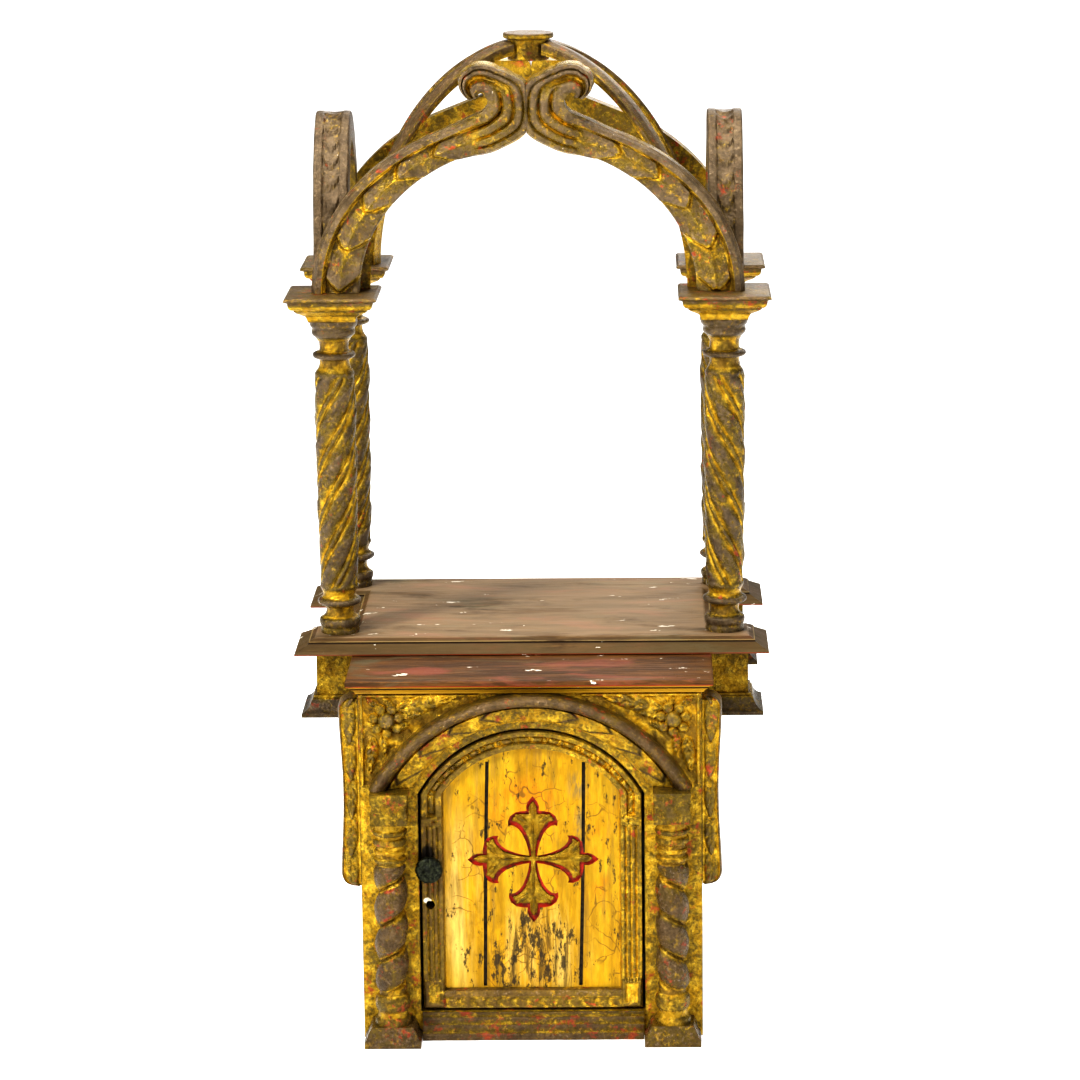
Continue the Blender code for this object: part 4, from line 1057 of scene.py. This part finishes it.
# One arm of the sunk cross: (half width, distance from the middle)
ARM = (
    (0.0042, 0.0042), (0.0052, 0.0110), (0.0073, 0.0190), (0.0114, 0.0290), (0.0155, 0.0345),
    (0.0200, 0.0380), (0.0240, 0.0388), (0.0266, 0.0375), (0.0270, 0.0430), (0.0246, 0.0490),
    (0.0190, 0.0532), (0.0122, 0.0546), (0.0066, 0.0550), (0.0070, 0.0600), (0.0052, 0.0650),
    (0.0000, 0.0715),
)
# The fluted cross that lies in that hole, a little smaller all round
INLAY = (
    (0.0024, 0.0024), (0.0029, 0.0120), (0.0046, 0.0210), (0.0082, 0.0310), (0.0126, 0.0376),
    (0.0178, 0.0418), (0.0222, 0.0428), (0.0226, 0.0446), (0.0210, 0.0470), (0.0172, 0.0496),
    (0.0116, 0.0508), (0.0042, 0.0504), (0.0042, 0.0580), (0.0030, 0.0612), (0.0000, 0.0648),
)


def cross_point(quarter, w, d):
    """The place on the door that is w beside the middle line of one arm and d out along it."""
    turn = quarter * pi / 2
    return CROSS[0] + w * cos(turn) + d * sin(turn), CROSS[1] - w * sin(turn) + d * cos(turn)


def cross_outline(arm):
    """All round the cross, from the (half width, distance) rows of one arm."""
    whole = [(-w, d) for w, d in arm] + [(w, d) for w, d in arm[-2:0:-1]]
    return np.array([cross_point(quarter, w, d) for quarter in range(4) for w, d in whole])


def prism(outline, y0, y1):
    near = [(x, y0, z) for x, z in outline]
    far = [(x, y1, z) for x, z in outline]
    n = len(near)
    faces = [tuple(range(n)), tuple(range(2 * n - 1, n - 1, -1))]
    faces += [(k, (k + 1) % n, (k + 1) % n + n, k + n) for k in range(n)]
    return near + far, faces


def cut(obj, outlines, y0, y1):
    """Cuts straight holes into a piece."""
    verts, faces = [], []
    for outline in outlines:
        v, f = prism(outline, y0, y1)
        faces += [tuple(i + len(verts) for i in face) for face in f]
        verts += v
    tool = add_object("cut", outward_mesh("cut", verts, faces))
    modifier = obj.modifiers.new("cut", "BOOLEAN")
    modifier.operation = "DIFFERENCE"
    modifier.solver = "EXACT"
    modifier.object = tool
    bpy.context.view_layer.update()
    done = bpy.data.meshes.new_from_object(obj.evaluated_get(bpy.context.evaluated_depsgraph_get()))
    obj.modifiers.clear()
    obj.data = done
    bpy.data.objects.remove(tool)


def paint(obj, names):
    """Gives a piece its finishes; its faces choose theirs by number afterwards."""
    obj.data.materials.clear()
    for name in names:
        obj.data.materials.append(MATS[name])


def circle(x, z, radius):
    turns = [2 * pi * k / 28 for k in range(28)]
    return [(x + radius * sin(a), z + radius * cos(a)) for a in turns]


def door_frame():
    outer = arched(0.1201, 0.0325, 0.1367, DOOR_ARC_Z, 90, 200, 110)
    inner = arched(0.0950, 0.0543, 0.1174, 0.2078, 90, 200, 110)
    t = np.linspace(0, 1, 34)[None, :, None]
    flat = outer[:, None, :] * (1 - t) + inner[:, None, :] * t
    x, z = flat[..., 0], flat[..., 1]
    depth, raised = door_depth(x, z, t[..., 0])
    depth = depth + np.abs(wobble(x, 0 * x, z, 0.0002, 200, 3.0))
    front = np.stack([x, FACADE_Y + depth, z], -1)
    back = np.full(len(outer), FACADE_Y + 0.0199)
    ends = [np.stack([line[:, 0], back, line[:, 1]], -1)[:, None] for line in (inner, outer)]
    grid = np.concatenate([front, *ends], 1)
    worn = np.concatenate([raised, np.full((len(outer), 2), 0.3)], 1)
    obj = make(
        "door_frame", grid.reshape(-1, 3), loop_faces(*grid.shape[:2]), "frame", worn,
        body="door", nodes=["door"], slot="bright_gilding",
    )
    cut(obj, [circle(*KEYHOLE, 0.0050)], FACADE_Y - 0.02, FACADE_Y + 0.04)
    paint(obj, ["frame", "wood"])
    for face in obj.data.polygons:
        face.material_index = int(face.center.y > FACADE_Y + INSIDE_DEPTH)


def groove(top_x, top_z, low_x):
    """Outline of a plank groove, a little bent, from the bottom of the door to top_z."""
    half, bottom = 0.0019, 0.0560
    left, right = [], []
    for k in range(13):
        s = k / 12
        x = low_x + (top_x - low_x) * s + 0.0004 * sin(5 * s + top_x * 90)
        z = bottom + (top_z + 0.002 - bottom) * s
        left.append((x - half, z))
        right.append((x + half, z))
    return left + right[::-1]


def door_planks():
    outline = arched(0.0953, 0.0540, 0.1177, 0.2078, 1, 60)
    verts, faces = prism(outline, FACADE_Y + 0.0080, FACADE_Y + 0.0200)
    panel = make("door_planks", verts, faces, "panel", None, body="door", slot="bright_gilding", angle=20)
    grooves = [groove(-0.0475, 0.3090, -0.0528), groove(0.0575, 0.3080, 0.0525)]
    cut(panel, grooves, FACADE_Y + 0.0060, FACADE_Y + 0.0112)
    cut(panel, [cross_outline(ARM)], FACADE_Y + 0.0050, FACADE_Y + 0.0122)
    finishes = ["panel", "groove", "bole", "wood"]
    paint(panel, finishes)
    for face in panel.data.polygons:
        depth = face.center.y - FACADE_Y
        facing = abs(face.normal.y)
        in_cross = max(abs(face.center.x - CROSS[0]), abs(face.center.z - CROSS[1])) < 0.0716
        finish = "panel"
        if 0.0081 < depth < 0.0119 and facing < 0.9 or 0.0110 < depth < 0.0114:
            finish = "groove"
        if in_cross and 0.0120 < depth < 0.0130:
            finish = "bole"
        if in_cross and 0.0081 < depth < 0.0121 and facing < 0.5 and face.area < 0.00004:
            finish = "bole"
        if depth > INSIDE_DEPTH:
            finish = "wood"
        face.material_index = finishes.index(finish)


def door_cross():
    edge = cross_outline(INLAY)
    count = len(edge)
    along = np.roll(edge, -1, 0) - np.roll(edge, 1, 0)
    normal = np.stack([along[:, 1], -along[:, 0]], -1)
    inside = edge + normal / (np.hypot(*normal.T)[:, None] + 1e-9) * 0.0007
    verts, relief = [], []
    for line, depth, raised in ((edge, 0.0122, 0.9), (edge, 0.0104, 0.8), (inside, 0.0097, 0.35)):
        verts += [(x, FACADE_Y + depth, z) for x, z in line]
        relief += [raised] * count
    faces = tube_faces(3, count)
    leaves_of_arm = (
        (0.0, 0.0540, 0.0, 0.0104, 0.0031), (0.0124, 0.0456, 0.95, 0.0084, 0.0030),
        (-0.0124, 0.0456, -0.95, 0.0084, 0.0030), (0.0, 0.0250, 0.0, 0.0190, 0.0015),
    )
    rows = ((1.0, 0.0102), (0.85, 0.0090), (0.45, 0.0081), (0.05, 0.0078))
    sides = 20
    for quarter in range(4):
        for w, d, lean, long, wide in leaves_of_arm:
            faces += tube_faces(len(rows), sides, len(verts))
            for share, depth in rows:
                for k in range(sides):
                    a = 2 * pi * k / sides
                    u, v = wide * share * sin(a), long * share * cos(a)
                    across = w + u * cos(lean) + v * sin(lean)
                    out = d - u * sin(lean) + v * cos(lean)
                    x, z = cross_point(quarter, across, out)
                    verts.append((x, FACADE_Y + depth, z))
                    relief.append(1 - share * 0.7)
    make("door_cross", verts, faces, "cross", relief, body="door", slot="old_gilding", angle=60)


def knob():
    rows = np.array((
        (0.0004, 0.0078, 0), (0.0030, 0.0066, 0), (0.0048, 0.0070, 0), (0.0056, 0.0125, 0.2),
        (0.0068, 0.0148, 0.6), (0.0085, 0.0153, 1), (0.0104, 0.0150, 1), (0.0122, 0.0141, 1),
        (0.0136, 0.0120, 1), (0.0141, 0.0098, 1), (0.0132, 0.0078, 0.5), (0.0140, 0.0062, 0.2),
        (0.0152, 0.0048, 0), (0.0160, 0.0030, 0), (0.0163, 0.0008, 0),
    ))
    s = np.linspace(0, len(rows) - 1, 90)
    k = np.arange(len(rows))
    ahead, radius, petal = (column[:, None] for column in read_rows(s, k, rows))
    a = np.linspace(0, 2 * pi, 96, endpoint=False)[None, :]
    lobe = np.abs(np.sin(a * 5)) ** 0.6
    rim = np.abs(np.sin(a * 15))
    radius = radius - petal * 0.0004 * (1 - rim) - petal * 0.0006 * (1 - lobe)
    ahead = ahead - petal * 0.0012 * (1 - lobe) * fall(radius, 0.0100, 0.0140)
    grid = np.stack([KNOB[0] + radius * np.sin(a), FACADE_Y - ahead, KNOB[1] + radius * np.cos(a)], -1)
    relief = np.clip(lobe * 0.6 + 0.4 * rim, 0, 1) + 0 * radius
    tube("door_knob", grid, "iron", relief, body="door", nodes=["knob"], slot="dark_metal")


def wing(side, hand):
    """A carved ear at a front corner: rounded at both ends, with leaves and a plain rim."""
    low, high = 0.172, 0.384
    near = SIDE_X
    z = np.concatenate([low + 0.0006 * np.arange(14) ** 1.3, np.linspace(low + 0.02, high - 0.02, 130)])
    z = np.concatenate([z, high - 0.0006 * np.arange(14)[::-1] ** 1.3])
    z = np.unique(np.clip(z, low, high))[:, None]
    top = np.sqrt(np.clip(1 - ((np.maximum(z, high - 0.012) - high + 0.012) / 0.012) ** 2, 0, 1))
    bottom = np.sqrt(np.clip(1 - ((low + 0.016 - np.minimum(z, low + 0.016)) / 0.016) ** 2, 0, 1))
    middle = 0.2056 + 0.0019 * np.cos(2 * pi * (z - low) / (high - low))
    far = 0.1915 + (middle - 0.1915) * np.minimum(top, bottom)
    v = np.linspace(0, 1, 30)[None, :]
    front = FACADE_Y + 0.002
    s = (high - z) / (high - low)
    leaf = leaves(s, (v - 0.46) / 0.36, count=5, lead=0.2)
    rim = smoothstep(v, 0.86, 0.90)
    h = -0.0008 + 0.0042 * leaf * (1 - rim) + 0.0022 * rim
    round_off = 0.0055 * smoothstep(v, 0.93, 1.0) ** 2
    ends = 0.004 * smoothstep(-z, -low - 0.006, -low) + 0.004 * smoothstep(z, high - 0.005, high)
    y = front - h + round_off + ends + 0.0008
    x = near + (far - near) * v
    grid = np.stack([x, np.maximum(y, front - 0.0033), z + 0 * x], -1)
    back = np.stack([far, np.full_like(far, front + 0.0310), z], -1)
    first = np.stack([np.full_like(far, near), np.full_like(far, front + 0.0310), z], -1)
    ring = np.concatenate([first, grid, back], 1)
    ring[..., 0] *= hand
    relief = np.clip(0.2 + 0.7 * leaf + rim, 0, 1)
    tube(
        f"wing_{side}_carved", ring, "front", edged(relief, 0.3, 0.6),
        nodes=[f"wing_{side}"], slot="old_gilding",
    )


def square_rows(name, rows, x0, x1, y0, y1, material, node, slot, grow, seed):
    """A square moulded block; rows are (outward step, height, raised); grow says which sides step out."""
    table = np.array(rows)
    run = run_along(table[:, 0], table[:, 1])
    parts = [np.linspace(a, b, max(2, int((b - a) / 0.0009)))[:-1] for a, b in zip(run, run[1:])]
    fine = np.concatenate([*parts, run[-1:]])
    out, z, raised = read_rows(fine, run, table)
    sides = 14
    rings, worn = [], []
    for o, height, r in zip(out, z, raised):
        a0, a1 = x0 - o * grow[0], x1 + o * grow[1]
        b0, b1 = y0 - o * grow[2], y1 + o * grow[3]
        corners = [(a0, b0), (a1, b0), (a1, b1), (a0, b1)]
        ring = []
        for k in range(4):
            (px, py), (qx, qy) = corners[k], corners[(k + 1) % 4]
            for i in range(sides):
                share = i / sides
                ring.append((px + (qx - px) * share, py + (qy - py) * share, height))
        rings.append(ring)
        worn.append([r] * (4 * sides))
    grid = np.array(rings)
    push = wobble(grid[..., 0], grid[..., 1], grid[..., 2], 0.00035, 150, seed)
    push *= ((grid[..., 2] > z.min() + 0.001) & (grid[..., 2] < z.max() - 0.001))
    cx, cy = (x0 + x1) / 2, (y0 + y1) / 2
    grid[..., 0] -= np.abs(push) * np.sign(grid[..., 0] - cx)
    grid[..., 1] -= np.abs(push) * np.sign(grid[..., 1] - cy)
    tube(name, grid, material, np.array(worn), nodes=[node], slot=slot, angle=30)


# Square blocks: (outward step, height, raised)

CAPITAL = (
    (0.0000, 0.7745, 0.0), (0.0006, 0.7770, 0.1), (0.0019, 0.7800, 0.2), (0.0028, 0.7815, 0.0),
    (0.0070, 0.7838, 0.1), (0.0120, 0.7865, 0.3), (0.0143, 0.7886, 0.7), (0.0143, 0.7894, 0.3),
    (0.0160, 0.7900, 0.1), (0.0180, 0.7910, 0.2), (0.0198, 0.7935, 0.3), (0.0204, 0.7965, 0.9),
    (0.0206, 0.7985, 0.9), (0.0238, 0.7998, 0.8), (0.0250, 0.8005, 1.0), (0.0248, 0.8016, 1.0),
    (0.0222, 0.8034, 1.0), (0.0218, 0.8035, 1.0),
)
PEDESTAL = (
    (0.0158, 0.3350, 0.9), (0.0165, 0.3358, 0.9), (0.0165, 0.3392, 1.0), (0.0150, 0.3400, 0.9),
    (0.0118, 0.3418, 0.9), (0.0088, 0.3450, 0.9), (0.0068, 0.3490, 0.9), (0.0055, 0.3530, 0.7),
    (0.0050, 0.3536, 0.1), (0.0035, 0.3540, 0.0), (0.0035, 0.3572, 0.1), (0.0010, 0.3577, 0.0),
    (0.0000, 0.3582, 0.2), (0.0000, 0.4030, 0.3), (0.0008, 0.4040, 0.2), (0.0020, 0.4045, 0.2),
    (0.0020, 0.4072, 0.3),
)


def capital(corner, sx, sy, seed):
    x, y, h = sx * COLUMN_X, CANOPY_Y + sy * COLUMN_DY, BLOCK_HALF
    square_rows(
        f"capital_{corner}_moulded", CAPITAL, x - h, x + h, y - h, y + h, "capital",
        f"capital_{corner}", "worn_wood", (1, 1, 1, 1), seed,
    )


def pedestal(corner, sx, sy, seed):
    near, far = SIDE_X, COLUMN_X + BLOCK_HALF
    y = CANOPY_Y + sy * COLUMN_DY
    x0, x1 = (near, far) if sx > 0 else (-far, -near)
    grow = (0, 1, 1, 1) if sx > 0 else (1, 0, 1, 1)
    square_rows(
        f"pedestal_{corner}_moulded", PEDESTAL, x0, x1, y - BLOCK_HALF, y + BLOCK_HALF, "gilt",
        f"pedestal_{corner}", "old_gilding", grow, seed,
    )


def rib_curve(reach, rise, power):
    """Distances out from the boss and heights over the springing, along one edge of a rib."""
    start = 0.0236
    t = np.linspace(0, pi / 2, 70)[:, None]
    s = start + (reach - start) * np.sin(t)
    return s, rise * np.clip(1 - (s / reach) ** power, 0, 1) ** (1 / power)


def rib(corner, sx, sy):
    """A diagonal rib, cut off flush with the arches at its foot and on the middle line at its top."""
    length = sqrt(0.886 ** 2 + 0.463 ** 2)
    along = (0.886 / length * sx, 0.463 / length * sy)
    across = (-along[1], along[0])
    half = 0.0135
    s_out, z_out = rib_curve(0.2095, 0.2635, 1.8)
    s_in, z_in = rib_curve(0.1960, 0.2490, 1.95)
    # across one rib: (side, share of the way from the outer to the inner edge, raised)
    section = np.array((
        (-1, 1.0, 0.1), (-0.5, 1.0, 0.2), (0.5, 1.0, 0.2), (1, 1.0, 0.1), (1, 0.80, 0.0), (1, 0.62, 0.4),
        (0.98, 0.30, 0.9), (0.96, 0.16, 1.0), (0.86, 0.10, 0.4), (0.55, 0.03, 0.8), (0.20, -0.06, 1.0),
        (0.0, -0.10, 1.0), (-0.20, -0.06, 1.0), (-0.55, 0.03, 0.8), (-0.86, 0.10, 0.4), (-0.96, 0.16, 1.0),
        (-0.98, 0.30, 0.9), (-1, 0.62, 0.4), (-1, 0.80, 0.0),
    ))
    side, share = section[:, 0][None, :], section[:, 1][None, :]
    s = s_out + (s_in - s_out) * share
    z = SPRING + np.clip(z_out + (z_in - z_out) * share, 0, None)
    x = along[0] * s + across[0] * side * half
    y = CANOPY_Y + along[1] * s + across[1] * side * half
    grid = np.stack([x, y, z], -1)
    relief = np.repeat(section[:, 2][None, :], len(grid), 0)
    bm = bmesh.new()
    layer = bm.verts.layers.float.new("relief")
    made = []
    for point, r in zip(grid.reshape(-1, 3), relief.ravel()):
        v = bm.verts.new(point)
        v[layer] = r
        made.append(v)
    for face in tube_faces(*grid.shape[:2]):
        bm.faces.new([made[i] for i in face])
    trims = (
        ((0, CANOPY_Y + sy * 0.0917, 0), (0, sy, 0)), ((0, CANOPY_Y + sy * 0.00015, 0), (0, -sy, 0)),
        ((sx * 0.1963, 0, 0), (sx, 0, 0)),
    )
    for point, normal in trims:
        everything = bm.verts[:] + bm.edges[:] + bm.faces[:]
        done = bmesh.ops.bisect_plane(
            bm, geom=everything, plane_co=point, plane_no=normal, clear_outer=True, dist=1e-7
        )
        edges = [g for g in done["geom_cut"] if isinstance(g, bmesh.types.BMEdge)]
        if edges:
            bmesh.ops.holes_fill(bm, edges=edges, sides=0)
    bmesh.ops.remove_doubles(bm, verts=bm.verts[:], dist=1e-7)
    bmesh.ops.recalc_face_normals(bm, faces=bm.faces[:])
    mesh = bpy.data.meshes.new(f"rib_{corner}_carved")
    bm.to_mesh(mesh)
    bm.free()
    place(mesh, "worn", "worn_wood", nodes=[f"rib_{corner}"], angle=25)


def boss():
    rows = np.array((
        (0.0080, 1.0437, 0.3), (0.0180, 1.0438, 0.3), (0.0224, 1.0442, 0.5), (0.0230, 1.0450, 0.2),
        (0.0230, 1.0470, 0.0), (0.0230, 1.0655, 0.1), (0.0233, 1.0670, 0.0), (0.0262, 1.0676, 0.3),
        (0.0277, 1.0684, 0.1), (0.0280, 1.0694, 0.1), (0.0280, 1.0716, 0.3), (0.0275, 1.0735, 1.0),
        (0.0260, 1.0738, 1.0), (0.0040, 1.0738, 1.0),
    ))
    run = run_along(rows[:, 0], rows[:, 1])
    at = np.linspace(0, run[-1], 90)
    r, z, raised = (column[:, None] for column in read_rows(at, run, rows))
    a = np.linspace(0, 2 * pi, 80, endpoint=False)[None, :]
    x, y = r * np.cos(a), CANOPY_Y + r * np.sin(a)
    zz = z + 0 * a
    tube("boss_turned", np.stack([x, y, zz], -1), "worn", raised + 0 * a, nodes=["boss"], slot="worn_wood")


def sill():
    rows = np.array((
        (0.0000, 0.0000, 0.3), (0.0120, 0.0000, 0.6), (0.0122, 0.0012, 0.9), (0.0120, 0.0058, 0.9),
        (0.0112, 0.0070, 0.8), (0.0095, 0.0078, 0.0), (0.0085, 0.0088, 0.3), (0.0085, 0.0142, 0.8),
        (0.0078, 0.0156, 0.9), (0.0062, 0.0166, 0.0), (0.0058, 0.0178, 0.3), (0.0060, 0.0222, 0.8),
        (0.0050, 0.0236, 0.8), (0.0034, 0.0244, 0.0), (0.0030, 0.0282, 0.7), (0.0024, 0.0290, 0.6),
        (0.0000, 0.0290, 0.4),
    ))
    x = np.linspace(-0.1212, 0.1212, 120)[:, None]
    drop = np.abs(wobble(x, 0 * x, rows[:, 1][None, :], 0.0004, 160, 4.0)) * (rows[:, 0] > 0.001)
    y = FACADE_Y - 0.0003 - np.maximum(rows[:, 0][None, :] - drop, 0)
    grid = np.stack([x + 0 * y, y, rows[:, 1][None, :] + 0 * x], -1)
    relief = rows[:, 2][None, :] + 0 * x
    tube("sill_moulded", grid, "sill", relief, nodes=["sill"], slot="old_gilding", angle=30)


for seed, (corner, sx, sy) in enumerate((
    ("front_left", -1, -1), ("front_right", 1, -1), ("back_left", -1, 1), ("back_right", 1, 1),
)):
    column(corner, sx, sy, seed * 1.7)
    capital(corner, sx, sy, seed * 2.1)
    pedestal(corner, sx, sy, seed * 1.1)
    rib(corner, sx, sy)
for side, hand in (("left", -1), ("right", 1)):
    colonette(side, hand, hand + 2.0)
    ogee(f"front_arch_{side}_carved", hand, -1, "arch", f"front_arch_{side}", True, hand + 1.0, "old_gilding")
    ogee(f"back_arch_{side}_carved", hand, 1, "worn", f"back_arch_{side}", False, hand + 5.0, "bare_wood")
    side_arch(side, hand, hand + 3.0)
    wing(side, hand)
    spandrel(side, hand)
archivolt()
front_board()
board("cabinet_top_moulded", shelf_plan, SHELF, "shelf", "cabinet_top", "worn_wood")
board("platform_moulded", platform_plan, PLATFORM, "platform", "platform", "worn_wood")
door_frame()
door_planks()
door_cross()
knob()
boss()
sill()


# Camera, light and floor

PHOTO_WIDTH = 1080
FOCAL_PIXELS = 4000
SENSOR = 36.0
camera_data = bpy.data.cameras.new("camera")
camera_data.sensor_width = SENSOR
camera_data.lens = FOCAL_PIXELS / PHOTO_WIDTH * SENSOR
camera_data.clip_end = 50
camera_data.shift_x = -0.0876
camera = add_object("camera", camera_data)
camera.location = (0.120, -4.42 + CANOPY_Y, 1.495)
LOOKS_DOWN = 12.69
camera.rotation_euler = (radians(90 - LOOKS_DOWN), radians(0.36), 0)
bpy.context.scene.camera = camera


def area_light(name, location, target, size, power):
    data = bpy.data.lights.new(name, "AREA")
    data.shape = "RECTANGLE"
    data.size, data.size_y = size
    data.energy = power
    obj = add_object(name, data)
    obj.location = location
    obj.rotation_euler = (Vector(target) - Vector(location)).to_track_quat("-Z", "Y").to_euler()


area_light("key", (-2.2, -2.2, 2.3), (0, 0, 0.6), (0.5, 0.9), 100)
area_light("fill", (2.4, -1.8, 1.3), (0, 0, 0.5), (0.4, 1.6), 26)
area_light("top", (0.0, 0.0, 3.0), (0, 0, 0.5), (1.0, 1.0), 60)
area_light("back", (0.6, 3.0, 2.2), (0, 0, 0.6), (2.0, 2.0), 30)

sun = bpy.data.lights.new("sun", "SUN")
sun.energy = 1.7
sun.angle = radians(30)
add_object("sun", sun).rotation_euler = (radians(28), radians(-16), 0)

bpy.context.scene.view_settings.view_transform = "Standard"
bpy.context.scene.view_settings.look = "High Contrast"
world = bpy.data.worlds.new("world")
bpy.context.scene.world = world
world.use_nodes = True
background = world.node_tree.nodes["Background"]
background.inputs["Color"].default_value = (1, 1, 1, 1)
seen = world.node_tree.nodes.new("ShaderNodeLightPath")
bright = world.node_tree.nodes.new("ShaderNodeMapRange")
bright.inputs["To Min"].default_value = 0.14
world.node_tree.links.new(seen.outputs["Is Camera Ray"], bright.inputs["Value"])
world.node_tree.links.new(bright.outputs["Result"], background.inputs["Strength"])

floor_mesh = bpy.data.meshes.new("floor")
floor_mesh.from_pydata([(-30, -30, 0), (30, -30, 0), (30, 30, 0), (-30, 30, 0)], [], [(0, 1, 2, 3)])
floor = add_object("floor", floor_mesh)
floor.location.z = -0.0005
floor_mat = bpy.data.materials.new("floor")
floor_mat.use_nodes = True
floor_inputs = floor_mat.node_tree.nodes["Principled BSDF"].inputs
floor_inputs["Base Color"].default_value = (0.86, 0.86, 0.85, 1)
floor_inputs["Roughness"].default_value = 0.9
floor_inputs["Emission Color"].default_value = (1, 1, 1, 1)
floor_inputs["Emission Strength"].default_value = 0.46
floor_mesh.materials.append(floor_mat)
